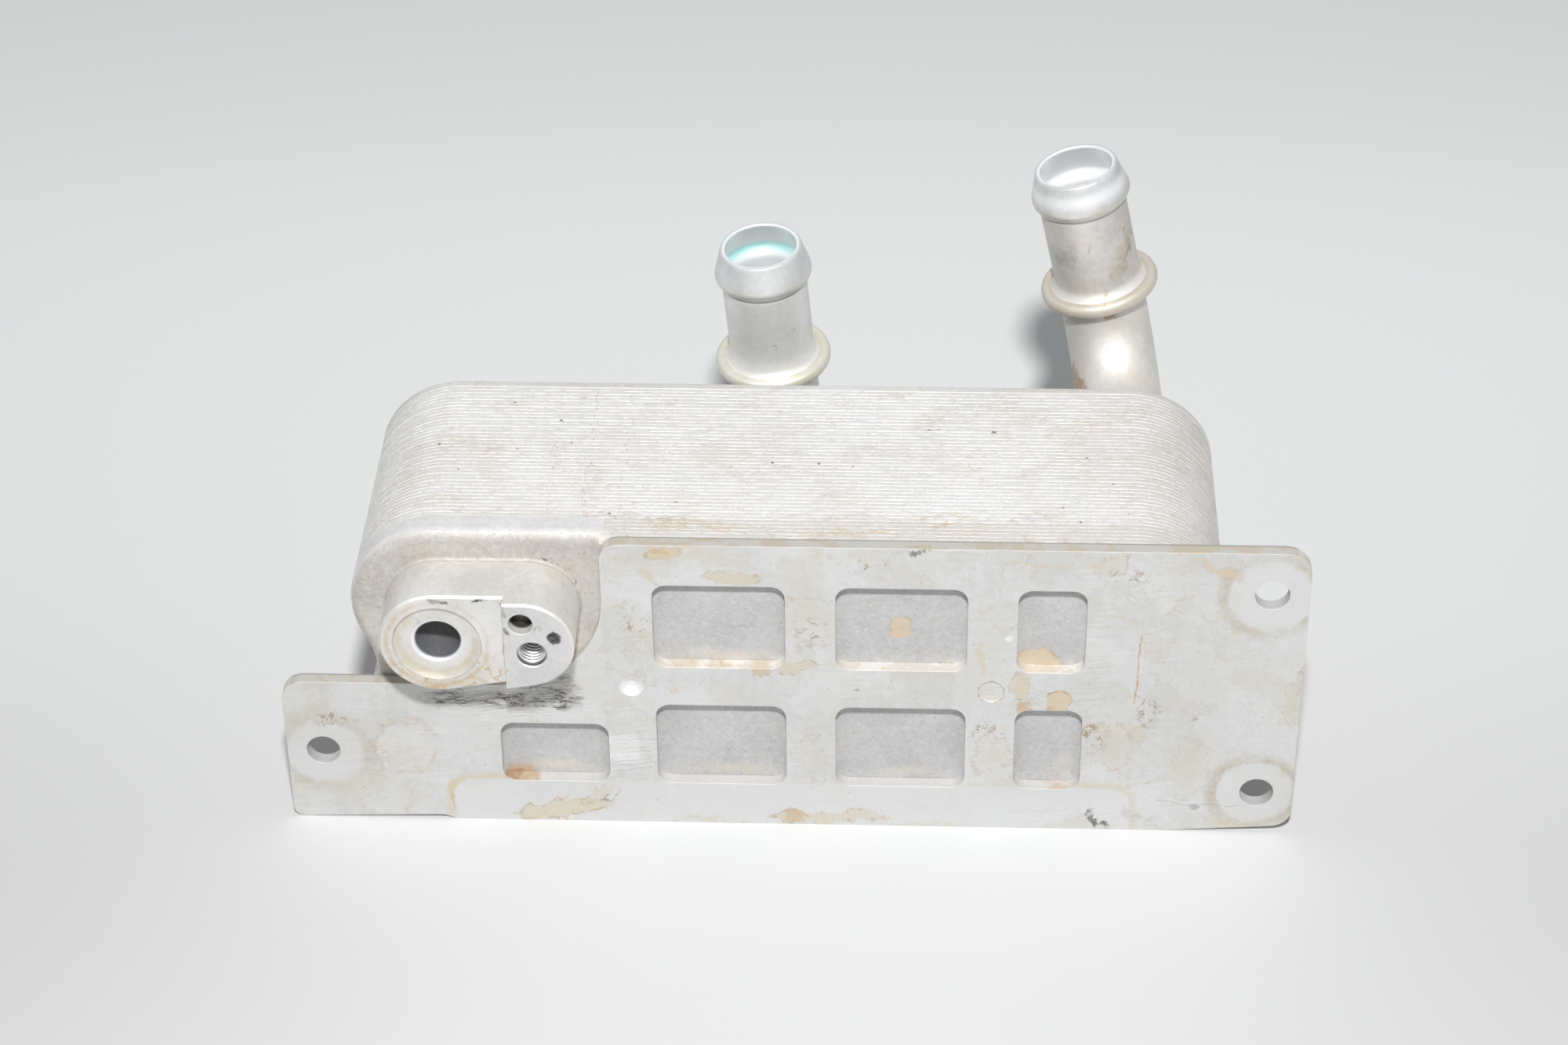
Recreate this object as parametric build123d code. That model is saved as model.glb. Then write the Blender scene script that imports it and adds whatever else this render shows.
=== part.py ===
from build123d import *
import math
import os

# Liquid-cooled air conditioning condenser: a brazed stack of nested aluminium plates on a flat
# bracket, with refrigerant port blocks and hose spigots for the coolant.
# X runs along the bracket from its left end, Y runs back from the bracket's front face into the
# plate stack, and Z runs up from the bracket's lower edge. All sizes are in millimetres.
# The parts are drawn from the bracket's lower left corner and exported from its left bolt hole.

os.makedirs("parts", exist_ok=True)

# Plate stack
core_length = 229.4
core_height = 93.0
core_left_x = 19.9
lobe_radius = 24.0
waist_depth = 5.5
plate_count = 38
plate_pitch = 1.6
skirt_step = 0.35
front_plate_depth = 8.0
front_shoulder_radius = 3.2
back_plate_thickness = 3.0
back_plate_edge_radius = 0.9

# Mounting bracket
bracket_thickness = 3.8
bracket_past_core = 20.7
bracket_below_core_top = 0.3
notch_gap_beside = 5.7
notch_gap_below = 7.6
notch_radius = 28.0
arm_corner_radius = 6.0
notch_top_radius = 5.0
top_right_radius = 7.0
lower_right_radius = 5.5
lower_left_radius = 3.0
edge_relief = 1.2
relief_end_x = 41.0
relief_step = 3.5
taper_length = 34.0
taper_rise = 2.4

bolt_hole_d = 9.0
left_hole = (9.8, 23.2)
right_hole_from_end = 9.7
right_hole_from_top = 13.1
right_hole_from_foot = 13.8

window_height = 26.7
window_radius = 3.8
window_columns = ((117.1, 34.6), (164.8, 34.4), (204.0, 17.8))
upper_row_from_top = 26.25
lower_row_from_foot = 27.1
small_window = (72.4, 23.65)
small_window_size = (29.0, 19.7)

dimple_at = (93.6, 46.4)
dimple_d = 6.4
dimple_floor_d = 2.0
dimple_depth = 1.5
spot_at = (188.6, 46.5)
spot_d = 6.7
spot_depth = 0.5

# Refrigerant port blocks, in the block's own plane from the centre of its large end
block_large_radius = 15.3
block_small_radius = 13.3
block_small_at = (22.7, 2.1)
block_height = 16.3
block_pad_rise = 3.2
block_pad_x = 17.8
block_edge_chamfer = 0.6
inlet_bore_d = 11.7
outlet_bore_d = 9.0
seal_recess_d = 22.9
seal_recess_depth = 1.2
port_thread_d = 6.8
port_thread_depth = 13.0
port_thread_chamfer = 0.75
port_thread_at = (24.9, -0.6)
dowel_hole_d = 6.2
dowel_hole_depth = 5.0
dowel_hole_at = (22.4, 9.1)
inlet_block_shift = (0.9, 0.2)

# Coolant tubes
tube_od = 24.0
tube_wall = 1.4
bend_radius = 27.0
tube_standoff = 42.4
socket_depth = 1.5
socket_height = 4.0
socket_wall = 2.4
braze_gap = 0.05
inlet_lean = 12.0
inlet_tilt = 1.0
inlet_flange_rise = 32.6
outlet_lean = 4.6
outlet_tilt = 4.3
outlet_flange_from_left = 106.8
outlet_flange_from_top = 18.3

# Hose end, measured back along the tube from its open end
flange_from_end = 38.6
flange_d = 33.0
flange_thickness = 3.6
flare_length = 3.4
flare_rise = 1.0
bead_d = 27.4
bead_crest_from_end = 8.3
bead_foot_from_end = 11.0
mouth_d = 22.8

# Places worked out from the sizes above
front_plate_y = bracket_thickness
stack_y = front_plate_y + front_plate_depth
back_plate_y = stack_y + plate_count * plate_pitch
back_face_y = back_plate_y + back_plate_thickness
tube_axis_y = back_face_y + tube_standoff
tube_bore = tube_od - 2 * tube_wall
core_middle = (core_left_x + core_length / 2, core_height / 2)
left_lobe_x = core_left_x + lobe_radius
right_lobe_x = core_left_x + core_length - lobe_radius
upper_lobe_z = core_height - lobe_radius
inlet_block_at = (left_lobe_x + inlet_block_shift[0], upper_lobe_z + inlet_block_shift[1])
outlet_block_at = (right_lobe_x, lobe_radius)
inlet_tube_at = (right_lobe_x, upper_lobe_z)
outlet_tube_at = (left_lobe_x, lobe_radius)
outlet_flange_at = (core_left_x + outlet_flange_from_left, core_height - outlet_flange_from_top)
bracket_length = core_left_x + core_length + bracket_past_core
bracket_height = core_height - bracket_below_core_top
arm_height = inlet_block_at[1] - block_large_radius - notch_gap_below
notch_x = inlet_block_at[0] + block_small_at[0] + block_small_radius + notch_gap_beside
right_hole_x = bracket_length - right_hole_from_end
right_hole_z = (bracket_height - right_hole_from_top, right_hole_from_foot)
window_rows = (bracket_height - upper_row_from_top, lower_row_from_foot)
to_datum = Pos(-left_hole[0], 0, -left_hole[1])


def facing_front(x, y, z):
    """Plane whose normal points out of the bracket's front face."""
    return Plane(origin=(x, y, z), x_dir=(1, 0, 0), z_dir=(0, -1, 0))


def facing_back(x, y, z):
    """Plane whose normal points out of the back of the stack."""
    return Plane(origin=(x, y, z), x_dir=(-1, 0, 0), z_dir=(0, 1, 0))


def save(solid, name):
    """Write one piece, moved so that the left bolt hole is the origin."""
    export_step(to_datum * solid, f"parts/{name}.step")


def bracket_outline():
    """Plate outline with the deep rounded notch that leaves room for the inlet block."""
    corners = (
        ((0, 0), lower_left_radius),
        ((0, arm_height), arm_corner_radius),
        ((notch_x, arm_height), notch_radius),
        ((notch_x, bracket_height), notch_top_radius),
        ((bracket_length, bracket_height), top_right_radius),
        ((bracket_length, taper_rise), lower_right_radius),
        ((bracket_length - taper_length, 0), relief_step),
        ((relief_end_x + relief_step, 0), relief_step / 2),
        ((relief_end_x, edge_relief), relief_step / 2),
    )
    points = [point for point, radius in corners]
    radii = [radius for point, radius in corners]
    return make_face(FilletPolyline(*points, radius=radii, close=True))


def bracket_windows():
    """Six windows in two rows, and the lower one beside them under the notch."""
    grid = [
        Pos(x, z) * RectangleRounded(width, window_height, window_radius)
        for z in window_rows
        for x, width in window_columns
    ]
    low = Pos(*small_window) * RectangleRounded(*small_window_size, window_radius)
    return grid + [low]


def mounting_bracket():
    face = bracket_outline()
    holes = [left_hole] + [(right_hole_x, z) for z in right_hole_z]
    for x, z in holes:
        face -= Pos(x, z) * Circle(bolt_hole_d / 2)
    for window in bracket_windows():
        face -= window
    front = facing_front(0, 0, 0)
    plate = extrude(front * face, -bracket_thickness)
    dimple = Cone(dimple_floor_d / 2, dimple_d / 2, dimple_depth)
    plate -= front * Pos(*dimple_at, -dimple_depth / 2) * dimple
    spot = Cylinder(spot_d / 2, spot_depth)
    plate -= front * Pos(*spot_at, -spot_depth / 2) * spot
    return plate


def core_outline():
    """Plate outline about its middle: straight top and bottom, two round lobes at each end and
    a shallow waist between them. The waist arc is tangent to both lobes."""
    lobe_x = core_length / 2 - lobe_radius
    lobe_z = core_height / 2 - lobe_radius
    reach = (lobe_z**2 + waist_depth**2) / (2 * waist_depth)
    meet = math.asin(lobe_z / reach)
    middle = (math.pi / 2 - meet) / 2
    meet_x = lobe_x + lobe_radius * math.cos(meet)
    meet_z = lobe_z - lobe_radius * math.sin(meet)
    middle_x = lobe_x + lobe_radius * math.cos(middle)
    middle_z = lobe_z + lobe_radius * math.sin(middle)
    top = core_height / 2
    waist_x = core_length / 2 - waist_depth
    quarter = [
        Line((0, top), (lobe_x, top)),
        ThreePointArc((lobe_x, top), (middle_x, middle_z), (meet_x, meet_z)),
    ]
    waist = ThreePointArc((meet_x, meet_z), (waist_x, 0), (meet_x, -meet_z))
    right = quarter + [waist] + [mirror(edge, Plane.XZ) for edge in quarter]
    left = [mirror(edge, Plane.YZ) for edge in right]
    return make_face(right + left)


def core_slab(y, depth, taper=0):
    """The core outline carried back from y by depth, drawn in by the taper angle."""
    plane = facing_front(core_middle[0], y, core_middle[1])
    return extrude(plane * core_outline(), -depth, taper=taper)


def front_end_plate():
    """Deep pressed cover with a rounded shoulder and the refrigerant hole."""
    plate = core_slab(front_plate_y, front_plate_depth)
    rim = plate.faces().sort_by(Axis.Y)[0].outer_wire().edges()
    plate = fillet(rim, front_shoulder_radius)
    hole = Cylinder(inlet_bore_d / 2, 2 * front_plate_depth)
    x, z = inlet_block_at
    return plate - facing_front(x, front_plate_y, z) * hole


def core_plate():
    """One nested plate: its skirt is widest at the front and steps in to the next one."""
    skirt_angle = math.degrees(math.atan2(skirt_step, plate_pitch))
    return core_slab(stack_y, plate_pitch, skirt_angle)


def back_end_plate():
    """Flat end plate with a raised socket for each coolant tube."""
    plate = core_slab(back_plate_y, back_plate_thickness)
    rim = plate.faces().sort_by(Axis.Y)[-1].outer_wire().edges()
    plate = fillet(rim, back_plate_edge_radius)
    socket_bore = tube_od / 2 + braze_gap
    for x, z in (inlet_tube_at, outlet_tube_at):
        seat = facing_back(x, back_face_y, z)
        plate += seat * extrude(Circle(socket_bore + socket_wall), socket_height)
        cut = Pos(0, 0, (socket_height - socket_depth) / 2)
        plate -= seat * cut * Cylinder(socket_bore, socket_height + socket_depth)
        plate -= seat * Cylinder(tube_bore / 2, 3 * back_plate_thickness)
    x, z = outlet_block_at
    hole = Cylinder(outlet_bore_d / 2, 3 * back_plate_thickness)
    return plate - facing_back(x, back_face_y, z) * hole


def port_block(bore_d):
    """Machined port block standing on its plane, with the port at the large end and a raised
    pad over the small end that holds the threaded hole and the dowel hole."""
    large = Circle(block_large_radius)
    small = Pos(*block_small_at) * Circle(block_small_radius)
    foot = make_hull((large + small).edges())
    top = block_height + block_pad_rise
    body = extrude(foot, top)
    low_side = Box(4 * block_large_radius, 4 * block_large_radius, 2 * block_pad_rise)
    body -= Pos(block_pad_x - 2 * block_large_radius, 0, top) * low_side
    faces = body.faces().filter_by(Plane.XY).sort_by(Axis.Z)[1:]
    rims = [edge for edge in faces.edges() if abs(edge.center().X - block_pad_x) > braze_gap]
    body = chamfer(rims, block_edge_chamfer)
    body -= Cylinder(bore_d / 2, 3 * block_height)
    recess = Cylinder(seal_recess_d / 2, 2 * seal_recess_depth)
    body -= Pos(0, 0, block_height) * recess
    body -= Pos(*port_thread_at, top) * Cylinder(port_thread_d / 2, 2 * port_thread_depth)
    mouth = port_thread_d / 2 + port_thread_chamfer
    lead_in = Cone(port_thread_d / 2, mouth, port_thread_chamfer)
    body -= Pos(*port_thread_at, top - port_thread_chamfer / 2) * lead_in
    body -= Pos(*dowel_hole_at, top) * Cylinder(dowel_hole_d / 2, 2 * dowel_hole_depth)
    return body


def hose_end():
    """Formed tube end from the underside of the flange to the mouth, drawn up from Z zero.
    The wall follows the bead inside and out, and the flange is a folded ring of the wall."""
    length = flange_from_end + flange_thickness / 2
    outer = tube_od / 2
    inner = tube_bore / 2
    crest_z = length - bead_crest_from_end
    foot_z = length - bead_foot_from_end
    flange_r = flange_d / 2 - flange_thickness / 2
    flare_foot = (outer + flare_rise, flange_thickness)
    flare_top = (outer, flange_thickness + flare_length)
    crest = (bead_d / 2, crest_z)
    swell = bead_d / 2 - outer
    profile = [
        Line((inner, 0), (flange_r, 0)),
        ThreePointArc(
            (flange_r, 0), (flange_d / 2, flange_thickness / 2), (flange_r, flange_thickness)
        ),
        Line((flange_r, flange_thickness), flare_foot),
        Line(flare_foot, flare_top),
        Line(flare_top, (outer, foot_z)),
        Line((outer, foot_z), (outer + swell / 2, foot_z + swell / 2)),
        Line((outer + swell / 2, foot_z + swell / 2), crest),
        Line(crest, (mouth_d / 2, length)),
        Line((mouth_d / 2, length), (inner, length)),
        Line((inner, length), (inner + swell, crest_z)),
        Line((inner + swell, crest_z), (inner, foot_z)),
        Line((inner, foot_z), (inner, 0)),
    ]
    return revolve(Plane.XZ * make_face(profile), Axis.Z)


def tube_direction(lean, tilt):
    """Upward direction that leans towards minus X and tilts towards the bracket."""
    run = Vector(-math.tan(math.radians(lean)), -math.tan(math.radians(tilt)), 1)
    return run.normalized()


def bent_tube(corners, direction):
    """Tube through the corner points with a formed hose end on its last one."""
    path = FilletPolyline(*corners, radius=bend_radius)
    start = Plane(origin=corners[0], z_dir=(0, 1, 0))
    ring = Circle(tube_od / 2) - Circle(tube_bore / 2)
    run = sweep(start * ring, path=path)
    return run + Plane(origin=corners[-1], z_dir=direction) * hose_end()


def coolant_inlet_tube():
    """Elbow from the upper right port, with its spigot leaning over the stack."""
    x, z = inlet_tube_at
    direction = tube_direction(inlet_lean, inlet_tilt)
    start = Vector(x, back_face_y - socket_depth, z)
    corner = Vector(x, tube_axis_y, z)
    end = corner + direction * (inlet_flange_rise - flange_thickness / 2)
    return bent_tube((start, corner, end), direction)


def coolant_outlet_tube():
    """Tube from the lower left port, along the back of the stack and up to its spigot."""
    x, z = outlet_tube_at
    flange_x, flange_z = outlet_flange_at
    direction = tube_direction(outlet_lean, outlet_tilt)
    flange = Vector(flange_x, tube_axis_y, flange_z)
    turn = flange - direction * ((flange_z - z) / direction.Z)
    end = flange - direction * (flange_thickness / 2)
    start = Vector(x, back_face_y - socket_depth, z)
    corner = Vector(x, turn.Y, z)
    return bent_tube((start, corner, turn, end), direction)


save(mounting_bracket(), "mounting_bracket")
save(front_end_plate(), "front_end_plate")
plate = core_plate()
for number in range(plate_count):
    place = Pos(0, number * plate_pitch, 0)
    save(place * plate, f"core_plate_{number + 1:02d}")
save(back_end_plate(), "back_end_plate")
inlet_x, inlet_z = inlet_block_at
inlet_seat = facing_front(inlet_x, front_plate_y, inlet_z)
save(inlet_seat * port_block(inlet_bore_d), "refrigerant_inlet_block")
outlet_x, outlet_z = outlet_block_at
outlet_seat = facing_back(outlet_x, back_face_y, outlet_z)
save(outlet_seat * port_block(outlet_bore_d), "refrigerant_outlet_block")
save(coolant_inlet_tube(), "coolant_inlet_tube")
save(coolant_outlet_tube(), "coolant_outlet_tube")
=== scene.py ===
import math

import bmesh
import bpy
import numpy as np
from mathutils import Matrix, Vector


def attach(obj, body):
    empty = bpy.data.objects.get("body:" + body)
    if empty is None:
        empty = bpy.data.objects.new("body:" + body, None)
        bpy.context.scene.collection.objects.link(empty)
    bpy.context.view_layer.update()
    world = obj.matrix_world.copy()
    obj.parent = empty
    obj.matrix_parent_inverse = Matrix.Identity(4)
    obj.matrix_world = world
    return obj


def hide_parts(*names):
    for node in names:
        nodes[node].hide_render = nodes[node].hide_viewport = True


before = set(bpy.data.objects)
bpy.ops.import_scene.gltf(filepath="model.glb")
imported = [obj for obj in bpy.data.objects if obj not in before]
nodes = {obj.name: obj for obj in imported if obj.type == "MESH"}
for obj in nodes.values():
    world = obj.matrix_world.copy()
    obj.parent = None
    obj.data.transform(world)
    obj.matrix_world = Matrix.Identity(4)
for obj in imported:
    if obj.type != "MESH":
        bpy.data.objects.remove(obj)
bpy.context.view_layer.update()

mm = 0.001


# node building

def put(tree, kind, sockets=None, **settings):
    made = tree.nodes.new(kind)
    for name, value in settings.items():
        setattr(made, name, value)
    for name, value in (sockets or {}).items():
        feed(tree, made.inputs[name], value)
    return made


def feed(tree, socket, value):
    # links another socket, or sets a value; a colour is given as three numbers
    if isinstance(value, bpy.types.NodeSocket):
        tree.links.new(value, socket)
    else:
        socket.default_value = (*value, 1) if socket.type == "RGBA" else value


def calc(tree, operation, first, second=0.0, third=0.0, clamp=False):
    made = put(tree, "ShaderNodeMath", operation=operation, use_clamp=clamp)
    for socket, value in zip(made.inputs, (first, second, third)):
        feed(tree, socket, value)
    return made.outputs[0]


def product(tree, first, *others):
    for other in others:
        first = calc(tree, "MULTIPLY", first, other)
    return first


def vecCalc(tree, operation, first, second=(0, 0, 0)):
    made = put(tree, "ShaderNodeVectorMath", operation=operation)
    feed(tree, made.inputs[0], first)
    feed(tree, made.inputs[1], second)
    return made.outputs["Value" if operation in ("LENGTH", "DOT_PRODUCT") else "Vector"]


def offFrom(tree, value, middle):
    # how far a value lies from a middle, to either side
    return calc(tree, "ABSOLUTE", calc(tree, "SUBTRACT", value, middle))


def distanceFrom(tree, place, x, z):
    # length of the way from the line through x and z that runs along Y
    away = vecCalc(tree, "MULTIPLY", vecCalc(tree, "SUBTRACT", place, (x, 0, z)), (1, 0, 1))
    return vecCalc(tree, "LENGTH", away)


def ramp(tree, value, low, high, start=0.0, end=1.0):
    # smooth step of value from low to high, giving start to end
    made = put(tree, "ShaderNodeMapRange", {"Value": value, "From Min": low, "From Max": high,
               "To Min": start, "To Max": end}, interpolation_type="SMOOTHSTEP")
    return made.outputs["Result"]


def blendColour(tree, amount, first, second):
    made = put(tree, "ShaderNodeMix", data_type="RGBA", clamp_factor=True)
    for socket, value in zip([s for s in made.inputs if s.type == "RGBA"], (first, second)):
        feed(tree, socket, value)
    feed(tree, made.inputs[0], amount)
    return made.outputs[2]


def layOn(tree, colour, added, *amounts):
    # mixes a colour into another by the product of masks and numbers
    return blendColour(tree, product(tree, *amounts), colour, added)


def peppered(tree, colour, field, dark, light, below, above):
    # lays dark on where a field is low and light where it is high: start, end and amount of each
    colour = layOn(tree, colour, dark, ramp(tree, field, below[0], below[1], 0.0, below[2]))
    return layOn(tree, colour, light, ramp(tree, field, above[0], above[1], 0.0, above[2]))


def noise(tree, place, size, detail=3.0, rough=0.55, output="Fac"):
    # place is in millimetres and size is the width of one cloud
    made = put(tree, "ShaderNodeTexNoise", {"Vector": place, "Detail": detail, "Roughness": rough})
    feed(tree, made.inputs["Scale"], 1.0 / size if isinstance(size, float) else
         calc(tree, "DIVIDE", 1.0, size))
    return made.outputs[output]


def warp(tree, place, size, reach):
    # pushes each place about over clouds of the given size
    pushed = vecCalc(tree, "SUBTRACT", noise(tree, place, size, 4.0, 0.62, "Color"), (0.5, 0.5, 0.5))
    return vecCalc(tree, "ADD", place, vecCalc(tree, "MULTIPLY", pushed, (reach, reach, reach)))


def splitAxes(tree, place):
    return put(tree, "ShaderNodeSeparateXYZ", {"Vector": place}).outputs


def newGroup(name, inputs, outputs):
    tree = bpy.data.node_groups.new(name, "ShaderNodeTree")
    for label, kind, value in inputs:
        socket = tree.interface.new_socket(name=label, in_out="INPUT", socket_type=kind)
        if value is not None:
            socket.default_value = value
    for label, kind in outputs:
        tree.interface.new_socket(name=label, in_out="OUTPUT", socket_type=kind)
    return tree, put(tree, "NodeGroupInput").outputs, put(tree, "NodeGroupOutput").inputs


def useGroup(tree, group, **sockets):
    made = put(tree, "ShaderNodeGroup", node_tree=group)
    for label, value in sockets.items():
        feed(tree, made.inputs[label], value)
    return made.outputs


floatSocket, vectorSocket, colourSocket = "NodeSocketFloat", "NodeSocketVector", "NodeSocketColor"


def makeCloudGroup():
    # wide clouds and a fine mottle blend Dark to Light; other clouds then blend in Warm
    tree, given, out = newGroup("oxideClouds", [
        ("Place", vectorSocket, None), ("Light", colourSocket, (0.7, 0.7, 0.7, 1)),
        ("Dark", colourSocket, (0.5, 0.5, 0.5, 1)), ("Warm", colourSocket, (0.7, 0.6, 0.5, 1)),
        ("CloudSize", floatSocket, 30.0), ("MottleSize", floatSocket, 3.0),
        ("Warmth", floatSocket, 0.3)], [("Color", colourSocket), ("Mask", floatSocket)])
    wide = noise(tree, given["Place"], given["CloudSize"], 4.0, 0.6)
    close = noise(tree, given["Place"], given["MottleSize"], 5.0, 0.65)
    both = calc(tree, "ADD", product(tree, wide, 0.6), product(tree, close, 0.4))
    mask = ramp(tree, both, 0.38, 0.62)
    base = blendColour(tree, mask, given["Dark"], given["Light"])
    shifted = vecCalc(tree, "ADD", given["Place"], (71.0, 13.0, 37.0))
    warm = noise(tree, shifted, product(tree, given["CloudSize"], 0.6), 6.0, 0.7)
    warmMask = product(tree, ramp(tree, warm, 0.48, 0.66), given["Warmth"])
    feed(tree, out["Color"], blendColour(tree, warmMask, base, given["Warm"]))
    feed(tree, out["Mask"], mask)
    return tree


def makeGrainGroup():
    # fine noise less round pits plus round specks, both chosen from cells by their random colour
    tree, given, out = newGroup("castGrain", [
        ("Place", vectorSocket, None), ("GrainSize", floatSocket, 0.5),
        ("SpeckSize", floatSocket, 1.5), ("PitShare", floatSocket, 0.1)],
        [("Height", floatSocket), ("Fine", floatSocket), ("Pits", floatSocket), ("Specks", floatSocket)])
    fine = noise(tree, given["Place"], given["GrainSize"], 4.0, 0.6)
    cells = put(tree, "ShaderNodeTexVoronoi", {"Vector": given["Place"], "Randomness": 1.0})
    feed(tree, cells.inputs["Scale"], calc(tree, "DIVIDE", 1.0, given["SpeckSize"]))
    chance = put(tree, "ShaderNodeSeparateColor", {"Color": cells.outputs["Color"]}).outputs
    spread = calc(tree, "ADD", 0.14, product(tree, chance[2], 0.16))
    dot = ramp(tree, cells.outputs["Distance"], spread, product(tree, spread, 0.4))
    pits = product(tree, dot, calc(tree, "LESS_THAN", chance[0], given["PitShare"]))
    specks = product(tree, dot, calc(tree, "LESS_THAN", chance[1], product(tree, given["PitShare"], 4.0)))
    lumps = calc(tree, "SUBTRACT", product(tree, specks, 0.5), pits)
    feed(tree, out["Height"], calc(tree, "ADD", product(tree, fine, 0.7), lumps))
    feed(tree, out["Fine"], fine)
    feed(tree, out["Pits"], pits)
    feed(tree, out["Specks"], specks)
    return tree


def makeBrushGroup():
    # noise squeezed across the brushing direction, its peaks kept where a wide noise is high
    tree, given, out = newGroup("brushLines", [
        ("Place", vectorSocket, None), ("Squeeze", vectorSocket, (0.06, 1.0, 4.0)),
        ("Turn", floatSocket, 0.0), ("PatchSize", floatSocket, 20.0)],
        [("Height", floatSocket), ("Mask", floatSocket)])
    turned = put(tree, "ShaderNodeVectorRotate", {"Vector": given["Place"], "Angle": given["Turn"]},
                 rotation_type="Y_AXIS").outputs[0]
    lines = noise(tree, vecCalc(tree, "MULTIPLY", turned, given["Squeeze"]), 1.0, 5.0, 0.7)
    where = ramp(tree, noise(tree, given["Place"], given["PatchSize"], 2.0), 0.42, 0.6)
    feed(tree, out["Height"], lines)
    feed(tree, out["Mask"], product(tree, ramp(tree, lines, 0.52, 0.7), where))
    return tree


def makeTideGroup():
    # Patch is where a ragged noise passes one half; Line is the thin edge of it, in some places only
    tree, given, out = newGroup("driedTide", [
        ("Place", vectorSocket, None), ("Size", floatSocket, 20.0), ("Width", floatSocket, 0.01)],
        [("Patch", floatSocket), ("Line", floatSocket)])
    height = noise(tree, given["Place"], given["Size"], 7.0, 0.56)
    shifted = vecCalc(tree, "ADD", given["Place"], (31.0, 57.0, 83.0))
    some = ramp(tree, noise(tree, shifted, product(tree, given["Size"], 0.8), 3.0), 0.46, 0.6)
    away = offFrom(tree, height, 0.5)
    feed(tree, out["Patch"], ramp(tree, height, 0.49, 0.53))
    feed(tree, out["Line"], product(tree, ramp(tree, away, given["Width"], 0.0), some))
    return tree


def makeBlotGroup():
    # an ellipse in the X and Z plane: Mask fills it, Rim is a thin band at its edge
    tree, given, out = newGroup("stainBlot", [
        ("Place", vectorSocket, None), ("Centre", vectorSocket, (0, 0, 0)),
        ("Reach", vectorSocket, (5, 5, 5)), ("Turn", floatSocket, 0.0), ("Soft", floatSocket, 0.3)],
        [("Mask", floatSocket), ("Rim", floatSocket)])
    moved = vecCalc(tree, "SUBTRACT", given["Place"], given["Centre"])
    turned = put(tree, "ShaderNodeVectorRotate", {"Vector": moved, "Angle": given["Turn"]},
                 rotation_type="Y_AXIS").outputs[0]
    flat = vecCalc(tree, "MULTIPLY", vecCalc(tree, "DIVIDE", turned, given["Reach"]), (1, 0, 1))
    distance = vecCalc(tree, "LENGTH", flat)
    inner = calc(tree, "SUBTRACT", 1.0, given["Soft"])
    feed(tree, out["Mask"], ramp(tree, distance, 1.0, inner))
    feed(tree, out["Rim"], ramp(tree, offFrom(tree, distance, 0.94), 0.13, 0.02))
    return tree


def makeLineGroup():
    # how near a place is to the straight run From + Run, in the X and Z plane
    tree, given, out = newGroup("driedLine", [
        ("Place", vectorSocket, None), ("From", vectorSocket, (0, 0, 0)), ("Run", vectorSocket, (1, 0, 0)),
        ("Width", floatSocket, 1.0)], [("Mask", floatSocket)])
    moved = vecCalc(tree, "MULTIPLY", vecCalc(tree, "SUBTRACT", given["Place"], given["From"]), (1, 0, 1))
    square = vecCalc(tree, "DOT_PRODUCT", given["Run"], given["Run"])
    share = calc(tree, "DIVIDE", vecCalc(tree, "DOT_PRODUCT", moved, given["Run"]), square, clamp=True)
    along = put(tree, "ShaderNodeVectorMath", {"Vector": given["Run"], "Scale": share}, operation="SCALE")
    off = vecCalc(tree, "LENGTH", vecCalc(tree, "SUBTRACT", moved, along.outputs["Vector"]))
    feed(tree, out["Mask"], ramp(tree, off, given["Width"], product(tree, given["Width"], 0.2)))
    return tree


def makeZoneGroup():
    # signed distance to a rectangle with rounded corners in the X and Z plane, below zero inside
    tree, given, out = newGroup("roundedZone", [
        ("Place", vectorSocket, None), ("Centre", vectorSocket, (0, 0, 0)), ("Half", vectorSocket, (9, 9, 9)),
        ("Round", floatSocket, 3.0)], [("Distance", floatSocket)])
    moved = vecCalc(tree, "ABSOLUTE", vecCalc(tree, "SUBTRACT", given["Place"], given["Centre"]))
    past = splitAxes(tree, vecCalc(tree, "SUBTRACT", moved, given["Half"]))
    x, z = (calc(tree, "ADD", past[k], given["Round"]) for k in (0, 2))
    outside = put(tree, "ShaderNodeCombineXYZ", {"X": calc(tree, "MAXIMUM", x, 0.0),
                  "Z": calc(tree, "MAXIMUM", z, 0.0)}).outputs[0]
    inside = calc(tree, "MINIMUM", calc(tree, "MAXIMUM", x, z), 0.0)
    total = calc(tree, "ADD", vecCalc(tree, "LENGTH", outside), inside)
    feed(tree, out["Distance"], calc(tree, "SUBTRACT", total, given["Round"]))
    return tree


cloudGroup = makeCloudGroup()
grainGroup = makeGrainGroup()
brushGroup = makeBrushGroup()
tideGroup = makeTideGroup()
blotGroup = makeBlotGroup()
lineGroup = makeLineGroup()
zoneGroup = makeZoneGroup()
print("shader groups made")


def newMaterial(name):
    material = bpy.data.materials.new(name)
    material.use_nodes = True
    tree = material.node_tree
    tree.nodes.clear()
    shader = put(tree, "ShaderNodeBsdfPrincipled")
    put(tree, "ShaderNodeOutputMaterial", {"Surface": shader.outputs["BSDF"]})
    # the place on the object, in millimetres
    place = vecCalc(tree, "MULTIPLY", put(tree, "ShaderNodeTexCoord").outputs["Object"], (1 / mm,) * 3)
    return material, tree, shader, place


def addBump(tree, shader, height, depth):
    made = put(tree, "ShaderNodeBump", {"Height": height, "Strength": 1.0, "Distance": depth * mm})
    feed(tree, shader.inputs["Normal"], made.outputs["Normal"])


def ellipse(tree, place, x, z, reachX, reachZ, turn=0.0, soft=0.3):
    return useGroup(tree, blotGroup, Place=place, Centre=(x, 0, z), Reach=(reachX, 1, reachZ),
                    Turn=math.radians(turn), Soft=soft)


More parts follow.
